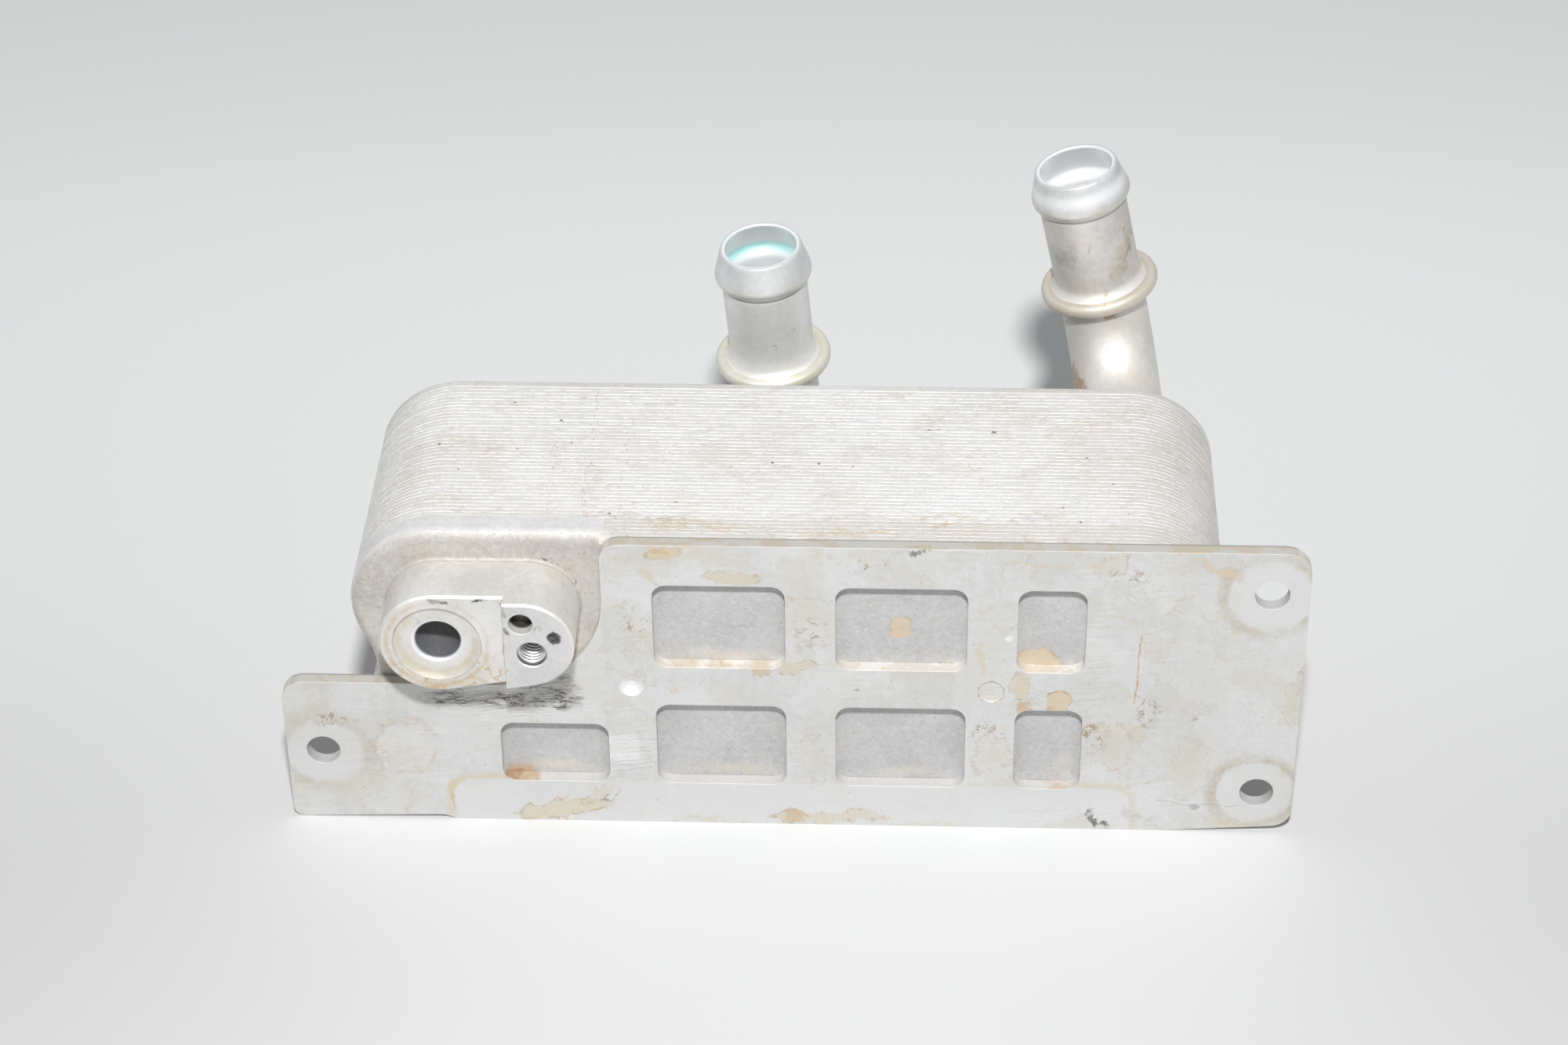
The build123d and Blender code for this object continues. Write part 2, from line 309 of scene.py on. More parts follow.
def zone(tree, place, x, z, halfX, halfZ, corner):
    return useGroup(tree, zoneGroup, Place=place, Centre=(x, 0, z), Half=(halfX, 1, halfZ),
                    Round=corner)["Distance"]


def stainLayer(tree, place, colour, stains, lines=()):
    # blots take a place pushed about by rag, and an amount broken up by fine noise
    mild = warp(tree, warp(tree, place, 3.0, 2.2), 0.9, 1.1)
    wild = warp(tree, warp(tree, place, 11.0, 16.0), 2.4, 5.0)
    broken = ramp(tree, noise(tree, place, 1.6, 5.0, 0.7), 0.32, 0.56, 0.45, 1.0)
    sparse = ramp(tree, noise(tree, place, 4.0, 4.0, 0.6), 0.4, 0.58, 0.15, 1.0)
    for x, z, reachX, reachZ, turn, rag, soft, amount, stain, rim in stains:
        pushed = put(tree, "ShaderNodeMix", data_type="VECTOR")
        for index, value in ((0, rag), (4, mild), (5, wild)):
            feed(tree, pushed.inputs[index], value)
        blot = ellipse(tree, pushed.outputs[1], x, z, reachX, reachZ, turn, soft)
        colour = layOn(tree, colour, stain, blot["Mask"], amount, broken)
        if rim:
            colour = layOn(tree, colour, rimBrown, blot["Rim"], rim, sparse)
    for points, width, amount, stain in lines:
        for (x, z), (nextX, nextZ) in zip(points, points[1:]):
            line = useGroup(tree, lineGroup, Place=mild, From=(x, 0, z), Width=width,
                            Run=(nextX - x, 0, nextZ - z))
            colour = layOn(tree, colour, stain, line["Mask"], amount, broken)
    return colour


# colours of the dried flux, the burnt oxide and the bare metal
rimBrown = (0.44, 0.3, 0.165)
tan = (0.62, 0.52, 0.372)
paleTan = (0.6, 0.556, 0.458)
olive = (0.6, 0.545, 0.42)
cream = (0.696, 0.63, 0.517)
orange = (0.564, 0.395, 0.235)
rust = (0.432, 0.282, 0.179)
brown = (0.32, 0.263, 0.188)
soot = (0.103, 0.099, 0.094)
slate = (0.357, 0.357, 0.348)
clean = (0.658, 0.667, 0.663)
chalk = (0.827, 0.827, 0.818)

# centre x and z, reach x and z, turn in degrees, rag, softness, amount, colour, rim
bracketStains = [
    (-4.0, 11.5, 8.5, 3.4, 14, 0.8, 0.9, 0.5, paleTan, 0.1),
    (6.0, -12.5, 17.0, 6.0, 8, 0.7, 0.8, 0.5, paleTan, 0.15),
    (22.5, 1.5, 9.0, 9.5, 0, 0.9, 0.8, 0.3, cream, 0.3),
    (93.3, 67.2, 5.0, 2.5, 6, 0.55, 0.2, 0.9, tan, 0.5),
    (91.5, 68.4, 3.2, 1.5, 0, 0.9, 0.5, 0.75, orange, 0.2),
    (101.3, 66.2, 8.0, 2.4, 0, 0.9, 0.6, 0.6, paleTan, 0.1),
    (111.8, 59.4, 7.6, 2.1, -4, 0.6, 0.2, 0.8, olive, 0.5),
    (90.8, 58.0, 2.2, 4.2, 30, 0.9, 0.5, 0.55, tan, 0.2),
    (98.0, 69.6, 14.0, 1.1, 0, 0.9, 0.7, 0.7, tan, 0.0),
    (81.5, 63.2, 3.4, 6.6, 0, 0.9, 0.7, 0.45, paleTan, 0.2),
    (84.0, 44.5, 3.0, 6.5, 24, 0.9, 0.7, 0.4, paleTan, 0.2),
    (144.8, 67.4, 10.0, 3.6, 0, 1.0, 0.8, 0.5, paleTan, 0.2),
    (131.5, 46.0, 9.5, 8.5, 0, 1.0, 0.8, 0.5, paleTan, 0.25),
    (127.0, 30.4, 5.2, 3.0, 12, 0.9, 0.3, 0.8, olive, 0.7),
    (118.6, 28.0, 2.4, 2.0, 0, 0.7, 0.2, 0.9, (0.56, 0.48, 0.33), 0.7),
    (95.6, 22.4, 1.5, 1.1, 40, 0.6, 0.5, 0.7, tan, 0.0),
    (176.2, 34.0, 1.6, 7.5, 0, 0.7, 0.5, 0.6, tan, 0.0),
    (181.6, 43.8, 8.0, 9.0, 0, 1.0, 0.8, 0.25, paleTan, 0.1),
    (186.6, 24.6, 2.7, 6.4, 3, 0.8, 0.3, 0.7, tan, 0.5),
    (186.8, 18.0, 2.0, 1.6, 0, 0.8, 0.4, 0.7, orange, 0.0),
    (196.6, 20.0, 3.8, 4.7, 0, 0.35, 0.1, 0.9, (0.62, 0.51, 0.35), 1.0),
    (194.2, 18.2, 1.3, 1.5, 0, 0.4, 0.4, 0.7, orange, 0.0),
    (208.8, 65.4, 5.4, 3.2, 0, 1.0, 0.6, 0.55, paleTan, 0.5),
    (237.7, 63.5, 6.0, 1.5, -14, 0.8, 0.4, 0.85, tan, 0.4),
    (232.0, 65.6, 4.0, 1.1, -28, 0.8, 0.4, 0.7, tan, 0.3),
    (41.5, -13.0, 3.4, 3.6, 0, 0.8, 0.8, 0.2, cream, 0.0),
    (63.4, -19.2, 13.5, 3.6, 7, 0.75, 0.2, 0.8, olive, 0.7),
    (56.5, -21.6, 5.5, 1.6, 4, 0.8, 0.5, 0.6, tan, 0.3),
    (73.5, -13.6, 5.6, 1.9, 48, 0.9, 0.3, 0.6, olive, 0.5),
    (75.5, -15.2, 3.2, 0.7, 58, 0.8, 0.4, 0.7, brown, 0.0),
    (136.0, -20.6, 17.0, 2.3, 2, 0.8, 0.25, 0.7, olive, 0.7),
    (126.4, -20.4, 2.4, 2.4, 0, 0.8, 0.25, 0.8, (0.55, 0.42, 0.27), 0.6),
    (104.0, -22.4, 14.0, 0.9, 0, 0.8, 0.5, 0.6, olive, 0.0),
    (160.0, -22.5, 16.0, 0.8, 0, 0.8, 0.5, 0.5, olive, 0.0),
    (205.0, -21.4, 9.5, 2.0, 0, 0.9, 0.5, 0.5, paleTan, 0.2),
    (232.0, -1.6, 5.0, 11.0, 0, 0.9, 0.7, 0.7, paleTan, 0.2),
    (211.6, 5.6, 4.4, 9.0, 0, 1.0, 0.7, 0.6, paleTan, 0.3),
    (217.6, 12.0, 2.6, 3.6, 0, 1.0, 0.6, 0.6, tan, 0.2),
    (178.8, 3.0, 5.2, 8.6, 0, 1.0, 0.7, 0.6, paleTan, 0.35),
    (132.0, 0.0, 3.2, 9.0, 0, 1.0, 0.7, 0.45, paleTan, 0.3),
    (259.0, 22.0, 1.8, 11.0, 4, 0.9, 0.6, 0.6, paleTan, 0.4),
    (245.5, -21.5, 9.0, 1.8, -4, 0.8, 0.5, 0.6, tan, 0.2),
    (183.7, 41.0, 1.4, 1.2, 0, 0.7, 0.4, 0.9, chalk, 0.0),
    (178.8, 23.3, 3.5, 3.5, 0, 0.05, 0.1, 0.8, (0.80, 0.76, 0.68), 1.0),
    (158.5, 68.1, 2.2, 0.8, 12, 0.6, 0.4, 0.9, soot, 0.0),
    (161.5, 68.9, 1.4, 0.5, 12, 0.6, 0.4, 0.9, brown, 0.0),
    (217.0, -17.0, 3.2, 3.0, 0, 1.0, 0.7, 0.35, slate, 0.0),
    (208.4, -20.4, 2.2, 1.4, 0, 1.0, 0.5, 0.85, soot, 0.0),
    (206.2, -18.6, 1.4, 1.2, 0, 1.0, 0.5, 0.7, soot, 0.0),
    (234.6, -14.5, 2.4, 0.9, 4, 0.4, 0.4, 0.75, slate, 0.0),
    (186.0, 20.6, 1.0, 0.7, 0, 0.5, 0.4, 0.8, slate, 0.0),
    (143.4, 23.0, 0.9, 0.5, 0, 0.3, 0.3, 0.85, slate, 0.0),
    (232.8, 15.4, 0.8, 0.7, 0, 0.4, 0.4, 0.6, brown, 0.0),
]
# bolt hole x and z, radius of the clean disc, reach of the ring, amount
boltRings = [(0.3, -0.6, 10.4, 15.5, 0.5), (250.2, 56.0, 11.0, 15.5, 0.75), (250.0, -9.4, 10.2, 14.8, 0.95)]
# points, half width, amount, colour
bracketLines = [
    ([(217.4, 42.4), (217.0, 30.0), (216.6, 20.6)], 0.34, 1.0, (0.5, 0.35, 0.21)),
    ([(217.6, 43.0), (221.6, 44.2), (226.4, 46.6)], 0.25, 0.5, orange),
    ([(183.0, 44.0), (186.4, 46.8)], 0.25, 0.45, brown),
    ([(206.0, 49.0), (212.3, 48.5), (215.9, 46.2), (217.2, 42.4)], 0.4, 0.45, tan),
    ([(217.2, 16.6), (215.6, 13.6), (211.4, 12.3), (186.5, 12.1)], 0.4, 0.4, tan),
    ([(182.8, 66.1), (190.2, 64.6), (198.3, 64.1), (206.9, 65.3)], 0.5, 0.55, tan),
    ([(132.1, 39.3), (137.2, 41.6), (141.0, 45.6)], 0.45, 0.5, tan),
    ([(34.6, -21.6), (34.0, -13.0), (37.4, -9.0), (46.0, -8.3), (62.0, -8.6)], 0.7, 0.6, tan),
    ([(34.2, -19.6), (33.8, -14.2)], 0.5, 0.6, orange),
    ([(211.0, -8.8), (216.6, -11.0), (218.0, -21.6)], 0.6, 0.45, paleTan),
    ([(79.6, -12.4), (78.4, -14.2), (76.9, -16.6)], 0.3, 0.45, brown),
    ([(85.4, 49.6), (83.9, 46.0)], 0.3, 0.3, slate),
    ([(224.0, -12.5), (231.0, -14.0), (246.0, -14.2)], 0.25, 0.5, slate),
]
sillStains = [
    (53.0, -10.0, 6.5, 3.0, 0, 0.5, 0.3, 0.9, (0.56, 0.42, 0.27), 0.0),
    (50.6, -10.0, 3.0, 3.0, 0, 0.6, 0.4, 0.8, rust, 0.0),
    (98.0, 29.4, 5.0, 3.0, 0, 1.0, 0.5, 0.6, tan, 0.0),
    (108.0, 29.4, 3.0, 3.0, 0, 1.0, 0.5, 0.6, orange, 0.0),
    (119.0, 29.4, 4.0, 3.0, 0, 1.0, 0.5, 0.6, tan, 0.0),
    (198.0, -10.0, 4.0, 3.0, 0, 1.0, 0.5, 0.6, orange, 0.0),
]
# the cream blots along the foot of each window are partly painted light bounced up from the sills and partly
# cream flux; the others are stains
coverStainsAndBounce = [
    (109.6, 28.4, 17.0, 1.8, 0, 0.5, 0.6, 0.5, cream, 0.1),
    (107.7, 40.6, 5.5, 2.2, -12, 1.0, 0.8, 0.3, slate, 0.0),
    (112.5, 39.6, 4.5, 0.6, -14, 0.9, 0.5, 0.45, brown, 0.0),
    (154.8, 42.0, 2.9, 3.6, 0, 0.3, 0.12, 0.9, (0.62, 0.51, 0.37), 0.5),
    (154.9, 39.4, 3.3, 1.7, 0, 0.3, 0.12, 0.9, (0.62, 0.51, 0.37), 0.3),
    (190.0, 30.8, 6.8, 3.6, -8, 0.4, 0.12, 0.9, (0.64, 0.53, 0.38), 0.6),
    (52.4, -9.6, 4.4, 2.7, 0, 0.4, 0.25, 0.9, (0.53, 0.39, 0.25), 0.4),
    (50.6, -10.6, 3.0, 1.6, 0, 0.5, 0.4, 0.9, rust, 0.0),
    (157.0, 27.8, 15.0, 1.2, 0, 0.6, 0.6, 0.4, cream, 0.0),
    (194.0, -10.6, 3.4, 1.6, 0, 0.7, 0.5, 0.6, tan, 0.2),
    (67.4, 44.0, 5.0, 17.0, 0, 0.6, 0.8, 0.55, paleTan, 0.0),
    (30.0, 64.6, 16.0, 2.2, 4, 0.8, 0.8, 0.35, paleTan, 0.0),
    (64.0, -7.4, 12.0, 3.6, 0, 0.6, 0.9, 0.6, cream, 0.0),
    (110.0, -7.0, 15.0, 3.4, 0, 0.6, 0.9, 0.55, cream, 0.0),
    (157.0, -7.4, 15.0, 3.0, 0, 0.6, 0.9, 0.45, cream, 0.0),
    (107.3, 32.2, 16.0, 3.6, 0, 0.6, 0.9, 0.5, cream, 0.0),
    (199.0, -3.6, 4.0, 8.0, 0, 0.7, 0.9, 0.4, cream, 0.0),
    (62.3, 61.4, 0.7, 0.35, -20, 0.5, 0.5, 0.75, soot, 0.0),
    (65.3, 59.9, 0.7, 0.3, -35, 0.5, 0.5, 0.75, soot, 0.0),
    (67.4, 58.2, 0.6, 0.3, -50, 0.5, 0.5, 0.7, soot, 0.0),
    (69.6, 54.6, 0.3, 0.7, 20, 0.5, 0.5, 0.6, soot, 0.0),
]
blockStainsAndStepShade = [
    (36.5, 33.2, 10.5, 2.5, 6, 0.5, 0.5, 0.75, paleTan, 0.2),
    (28.5, 37.0, 3.2, 5.2, -30, 0.5, 0.6, 0.6, cream, 0.2),
    (33.0, 31.9, 6.0, 0.9, 8, 0.8, 0.5, 0.8, orange, 0.0),
    (44.6, 35.4, 1.2, 4.4, 40, 0.6, 0.5, 0.7, tan, 0.0),
    (47.5, 41.5, 0.9, 3.4, 14, 0.6, 0.5, 0.6, tan, 0.0),
    (65.6, 51.0, 1.9, 1.8, 0, 0.3, 0.2, 1.0, soot, 0.0),
    (65.6, 51.2, 1.3, 1.2, 0, 0.4, 0.3, 0.9, (0.04, 0.04, 0.04), 0.0),
    (52.6, 60.4, 0.9, 1.2, 20, 0.5, 0.3, 0.95, soot, 0.0),
    (53.6, 52.4, 1.4, 0.6, -40, 0.5, 0.4, 0.8, soot, 0.0),
    (61.0, 53.6, 1.6, 0.5, 30, 0.6, 0.4, 0.6, slate, 0.0),
    (36.4, 60.4, 3.2, 1.2, 4, 0.6, 0.4, 0.95, slate, 0.0),
    (38.2, 60.2, 1.4, 0.7, 4, 0.6, 0.4, 0.8, soot, 0.0),
    (47.2, 60.3, 2.8, 1.0, 0, 0.6, 0.4, 0.95, soot, 0.0),
    (50.2, 32.9, 1.8, 0.9, -10, 0.5, 0.4, 0.95, soot, 0.0),
    (46.6, 32.0, 1.4, 0.5, -10, 0.5, 0.4, 0.8, soot, 0.0),
    # painted shadow: a thin brown line where the pad casts its shadow on the face beside its step
    (52.5, 45.5, 0.42, 15.0, 0, 0.12, 0.4, 0.6, brown, 0.0),
    (52.7, 58.4, 1.0, 1.8, 12, 0.3, 0.3, 0.9, slate, 0.0),
    (29.6, 51.0, 1.0, 3.2, 8, 0.7, 0.6, 0.5, slate, 0.0),
]
# marks round the seal recess: radius, half width, amount, colour
blockRings = [(11.5, 0.4, 0.6, brown), (10.0, 1.7, 0.9, (0.64, 0.575, 0.46)), (13.2, 1.0, 0.5, orange)]
tubeStains = [
    (215.2, 94.0, 1.9, 8.0, -6, 0.7, 0.8, 0.6, (0.5, 0.43, 0.31), 0.5),
    (213.2, 88.0, 2.2, 3.0, -6, 0.8, 0.7, 0.5, (0.5, 0.43, 0.31), 0.4),
    (215.8, 92.6, 0.8, 4.0, -6, 0.6, 0.6, 0.6, brown, 0.0),
    (209.6, 80.0, 0.5, 4.6, -10, 0.6, 0.5, 0.7, orange, 0.0),
    (198.0, 91.5, 2.6, 6.0, -12, 1.0, 0.8, 0.35, brown, 0.0),
    (204.6, 95.6, 0.4, 2.4, -10, 0.5, 0.5, 0.6, slate, 0.0),
    (209.8, 74.4, 2.4, 0.9, 20, 0.7, 0.5, 0.8, rust, 0.0),
    (203.6, 53.0, 2.0, 3.0, 0, 0.7, 0.6, 0.8, rust, 0.0),
    (118.6, 73.0, 0.9, 1.0, 0, 0.5, 0.4, 0.8, chalk, 0.0),
    (121.4, 70.8, 0.6, 1.2, -20, 0.5, 0.4, 0.7, chalk, 0.0),
    (117.2, 62.8, 0.5, 1.5, 0, 0.6, 0.4, 0.6, slate, 0.0),
    (123.2, 66.8, 1.0, 0.4, 0, 0.6, 0.4, 0.6, slate, 0.0),
    (123.4, 84.5, 0.4, 0.4, 0, 0.2, 0.4, 0.9, chalk, 0.0),
    (111.6, 81.3, 0.4, 0.4, 0, 0.2, 0.4, 0.9, chalk, 0.0),
]
# the same on the top of the core, with distance back from the front standing for z
coreTopStains = [
    (213.2, 62.3, 9.0, 3.0, 4, 0.8, 0.7, 0.6, paleTan, 0.0),
    (206.0, 58.4, 7.0, 2.2, 0, 0.9, 0.6, 0.55, tan, 0.0),
    (227.7, 56.0, 4.0, 6.0, 0, 0.8, 0.8, 0.5, paleTan, 0.0),
    (160.0, 57.0, 7.0, 4.0, 0, 1.0, 0.8, 0.3, paleTan, 0.0),
    (143.8, 45.7, 9.0, 6.0, 0, 1.0, 0.8, 0.25, paleTan, 0.0),
    (183.3, 35.6, 8.0, 4.0, 0, 1.0, 0.8, 0.35, paleTan, 0.0),
    (38.7, 46.9, 16.0, 8.0, 0, 1.0, 0.9, 0.35, paleTan, 0.0),
    (33.7, 18.5, 13.0, 5.0, 0, 0.9, 0.8, 0.5, paleTan, 0.0),
    (22.0, 36.0, 5.0, 22.0, 0, 0.9, 0.9, 0.5, paleTan, 0.0),
    (134.2, 14.0, 30.0, 3.0, 0, 1.0, 0.8, 0.5, paleTan, 0.0),
    (90.0, 11.0, 16.0, 1.6, 0, 1.0, 0.6, 0.6, tan, 0.0),
    (104.0, 8.0, 20.0, 2.8, 0, 1.0, 0.6, 0.75, tan, 0.3),
    (96.0, 9.4, 7.0, 1.6, 0, 1.0, 0.5, 0.6, orange, 0.0),
    (141.0, 7.4, 15.0, 2.6, 0, 1.0, 0.6, 0.75, tan, 0.3),
    (165.0, 9.0, 4.0, 1.8, 0, 1.0, 0.5, 0.8, orange, 0.0),
    (183.0, 11.6, 2.6, 1.2, 0, 0.8, 0.4, 0.6, orange, 0.0),
    (168.9, 13.6, 8.0, 2.0, 0, 1.0, 0.7, 0.6, tan, 0.0),
    (191.3, 14.6, 14.0, 2.4, 0, 1.0, 0.7, 0.5, paleTan, 0.0),
]
# small dark marks there: x, distance back from the front, reach along and back, colour
coreTopSpecks = [(178.9, 53.6, 0.9, 0.5, soot), (161.5, 54.3, 0.7, 0.4, soot), (164.0, 54.6, 0.9, 0.3, brown),
                 (120.1, 37.8, 0.6, 0.5, soot), (132.5, 37.7, 0.45, 0.5, soot), (62.3, 56.5, 0.5, 0.5, soot),
                 (95.6, 19.2, 0.5, 0.5, brown), (51.8, 42.8, 0.4, 0.5, brown), (141.5, 36.4, 0.4, 0.4, rust),
                 (66.0, 46.0, 0.4, 0.5, brown), (30.6, 45.0, 0.5, 0.6, soot), (49.0, 65.0, 0.4, 0.4, soot),
                 (37.0, 33.0, 0.4, 0.5, brown), (78.6, 13.6, 0.6, 0.4, soot), (201.0, 12.6, 0.5, 0.4, soot),
                 (210.0, 30.0, 0.4, 0.5, brown), (196.6, 19.0, 0.5, 0.5, brown), (203.4, 42.0, 0.5, 0.4, soot)]
coreTopLines = [([(82.0, 65.2), (93.0, 65.4)], 0.3, 0.6, slate),
                ([(71.3, 12.2), (98.2, 12.0)], 0.35, 0.75, slate),
                ([(104.0, 68.6), (110.0, 68.7)], 0.3, 0.5, slate)]
# places brushed harder: centre x and z, reach x and z, amount
brushedAreas = [(50.0, 17.5, 30.0, 8.5, 1.0), (10.0, 1.0, 12.0, 9.0, 0.6), (84.0, 3.0, 9.0, 19.0, 0.9),
                (200.0, -19.0, 24.0, 5.0, 1.0), (150.0, -15.0, 40.0, 6.0, 0.5), (205.0, 28.0, 8.0, 30.0, 0.4)]
# fine branching marks: centre x and z, reach x and z
branchedAreas = [(206.0, 10.0, 6.0, 10.0), (178.0, 9.0, 6.0, 7.0), (131.0, 42.0, 7.0, 7.0),
                 (220.0, 18.0, 5.0, 9.0), (213.0, 62.0, 8.0, 5.0), (86.0, 44.0, 6.0, 8.0),
                 (146.0, 64.0, 8.0, 4.0), (3.0, 11.0, 10.0, 4.0)]


def areaMask(tree, place, areas):
    # the strongest of several soft ellipses, each given by centre, reach and maybe an amount
    total = None
    for x, z, reachX, reachZ, *amount in areas:
        mask = product(tree, ellipse(tree, place, x, z, reachX, reachZ, soft=0.7)["Mask"], *amount)
        total = mask if total is None else calc(tree, "MAXIMUM", total, mask)
    return total


# what each shader group is given for the bracket, its colours, and how much of each is laid on
bracketLook = {
    "cloud": {"Light": (0.636, 0.643, 0.637), "Dark": (0.566, 0.563, 0.546), "Warm": (0.6, 0.563, 0.48),
              "CloudSize": 30.0, "MottleSize": 3.0, "Warmth": 0.6},
    "wideTide": {"Size": 21.0, "Width": 0.006}, "smallTide": {"Size": 7.5, "Width": 0.01},
    "patchAmount": 0.4, "wideEdge": (0.54, 0.44, 0.3), "wideEdgeAmount": 0.6,
    "smallEdge": (0.5, 0.39, 0.25), "smallEdgeAmount": 0.3,
    "mottleDark": (0.42, 0.41, 0.385), "mottleLight": (0.74, 0.74, 0.735),
    "brush": {"Squeeze": (0.05, 1.0, 2.6), "Turn": 0.06, "PatchSize": 22.0},
    "hardBrush": {"Squeeze": (0.035, 1.0, 2.2), "Turn": 0.12, "PatchSize": 9.0},
    "grain": {"GrainSize": 0.45, "SpeckSize": 1.4, "PitShare": 0.03},
    "brushLight": (0.77, 0.77, 0.77), "brushDark": (0.42, 0.41, 0.39),
    "hardLight": (0.8, 0.8, 0.795), "hardDark": (0.36, 0.35, 0.33), "hardAmount": 0.7,
    # the cleaner strip along the foot and the scraped patch: middle x and z, half size, corner
    "strip": (125.6, -21.0, 91.5, 12.2, 6.0), "stripShine": (0.589, 0.589, 0.58),
    "scrape": (81.0, 2.4, 4.6, 5.0, 1.0), "scrapeColour": (0.77, 0.77, 0.765),
    "ringColour": (0.47, 0.41, 0.315),
    "branchTide": {"Size": 3.0, "Width": 0.04}, "branchColour": (0.32, 0.235, 0.14),
    # the grit under the port block: centre x and z, reach x and z, turn, softness
    "gritBlots": [(43.0, 18.2, 17.5, 3.4, -2, 0.4), (61.5, 20.4, 11.0, 5.6, -16, 0.35)],
    "gritTail": (67.0, 24.4, 5.0, 2.2, -34, 0.6), "gritTailAmount": 0.6,
    "gritFilm": (0.36, 0.34, 0.305), "gritStreak": (0.2, 0.185, 0.16), "gritColour": (0.1, 0.09, 0.078),
    "fleckColour": (0.2, 0.18, 0.155), "pitColour": (0.276, 0.248, 0.212),
    "dimple": (83.8, 23.2, 3.5, 3.5), "dimpleHighlight": (0.77, 0.77, 0.765),
    "rough": 0.5, "brushedGloss": 0.12, "metallic": 0.3, "bump": 0.1}


def bracketGround(tree, place):
    # grey clouds, beige dried patches with brown edges, and a fine mottle
    look = bracketLook
    cloud = useGroup(tree, cloudGroup, Place=place, **look["cloud"])
    tide = useGroup(tree, tideGroup, Place=place, **look["wideTide"])
    small = useGroup(tree, tideGroup, Place=place, **look["smallTide"])
    colour = layOn(tree, cloud["Color"], clean, tide["Patch"], look["patchAmount"])
    colour = layOn(tree, colour, look["wideEdge"], tide["Line"], look["wideEdgeAmount"])
    colour = layOn(tree, colour, look["smallEdge"], small["Line"], look["smallEdgeAmount"])
    fine = noise(tree, place, 0.8, 5.0, 0.75)
    return peppered(tree, colour, fine, look["mottleDark"], look["mottleLight"],
                    (0.46, 0.3, 0.5), (0.56, 0.7, 0.5))


def bracketMarks(tree, place):
    # lines brushed all over, harder ones, grain, and the areas where the harder ones show
    look = bracketLook
    brush = useGroup(tree, brushGroup, Place=place, **look["brush"])
    hard = useGroup(tree, brushGroup, Place=warp(tree, place, 30.0, 6.0), **look["hardBrush"])
    grain = useGroup(tree, grainGroup, Place=place, **look["grain"])
    return brush, hard["Height"], grain, areaMask(tree, warp(tree, place, 8.0, 8.0), brushedAreas)


def bracketBrushing(tree, colour, brush, hard, area):
    # both brushings leave light lines on their peaks and dark ones in their troughs
    look = bracketLook
    colour = layOn(tree, colour, look["brushLight"], brush["Mask"], 0.6)
    colour = layOn(tree, colour, look["brushDark"], ramp(tree, brush["Height"], 0.42, 0.3, 0.0, 0.4))
    colour = layOn(tree, colour, look["hardLight"], ramp(tree, hard, 0.53, 0.63), area, look["hardAmount"])
    return layOn(tree, colour, look["hardDark"], ramp(tree, hard, 0.46, 0.38), area, look["hardAmount"])


def bracketStrip(tree, place, axis, colour, brush):
    # the cleaner strip along the foot with its dried edge, which shows mostly at the two ends
    strip = zone(tree, warp(tree, place, 5.0, 2.0), *bracketLook["strip"])
    shine = blendColour(tree, brush["Mask"], clean, bracketLook["stripShine"])
    colour = layOn(tree, colour, shine, ramp(tree, strip, 0.1, -0.5, 0.0, 0.6))
    edge = product(tree, ramp(tree, strip, -0.5, 0.3), ramp(tree, strip, 2.6, 0.8))
    uneven = ramp(tree, noise(tree, place, 16.0, 3.0), 0.4, 0.6, 0.35, 0.9)
    ends = calc(tree, "MAXIMUM", ramp(tree, axis[0], 72.0, 58.0), ramp(tree, axis[0], 192.0, 206.0, 0.12, 0.8))
    return layOn(tree, colour, tan, edge, uneven, ends), strip, uneven


def boltDiscs(tree, place, colour, uneven):
    # cleaner discs where the bolt heads sat, each with a ragged beige ring
    ragged = warp(tree, place, 4.0, 3.4)
    spotted = ramp(tree, noise(tree, place, 1.3, 4.0, 0.7), 0.36, 0.56, 0.45, 1.0)
    for x, z, inner, outer, amount in boltRings:
        distance = distanceFrom(tree, ragged, x, z)
        band = product(tree, ramp(tree, distance, inner - 0.6, inner + 0.8),
                       ramp(tree, distance, outer, inner + 1.2))
        colour = layOn(tree, colour, clean, ramp(tree, distance, inner + 1.0, inner - 1.6, 0.0, 0.5))
        colour = layOn(tree, colour, bracketLook["ringColour"], band, uneven, spotted, amount)
    return colour


def scrapedPatch(tree, place, colour, strip, hard):
    # bright metal beside the low left window, streaked by the brushing and kept off the strip
    scraped = zone(tree, warp(tree, place, 3.0, 2.0), *bracketLook["scrape"])
    streaky = ramp(tree, hard, 0.42, 0.58, 0.3, 1.0)
    return layOn(tree, colour, bracketLook["scrapeColour"], ramp(tree, strip, 0.0, 1.0), streaky,
                 ramp(tree, scraped, 0.4, -1.2), 0.8)


def gritMasks(tree, place, pushed):
    # loose grit caught below the port block, strung out along the brushing: where, how thick, in which clumps
    where = calc(tree, "MAXIMUM", *(ellipse(tree, pushed, *blot)["Mask"] for blot in bracketLook["gritBlots"]))
    tail = ellipse(tree, pushed, *bracketLook["gritTail"])["Mask"]
    where = calc(tree, "MAXIMUM", where, product(tree, tail, bracketLook["gritTailAmount"]))
    strung = vecCalc(tree, "MULTIPLY", place, (0.33, 1.0, 1.2))
    clump = ramp(tree, noise(tree, strung, 1.3, 6.0, 0.76), 0.48, 0.55)
    return where, product(tree, where, ramp(tree, noise(tree, strung, 4.0, 2.0), 0.38, 0.52)), clump


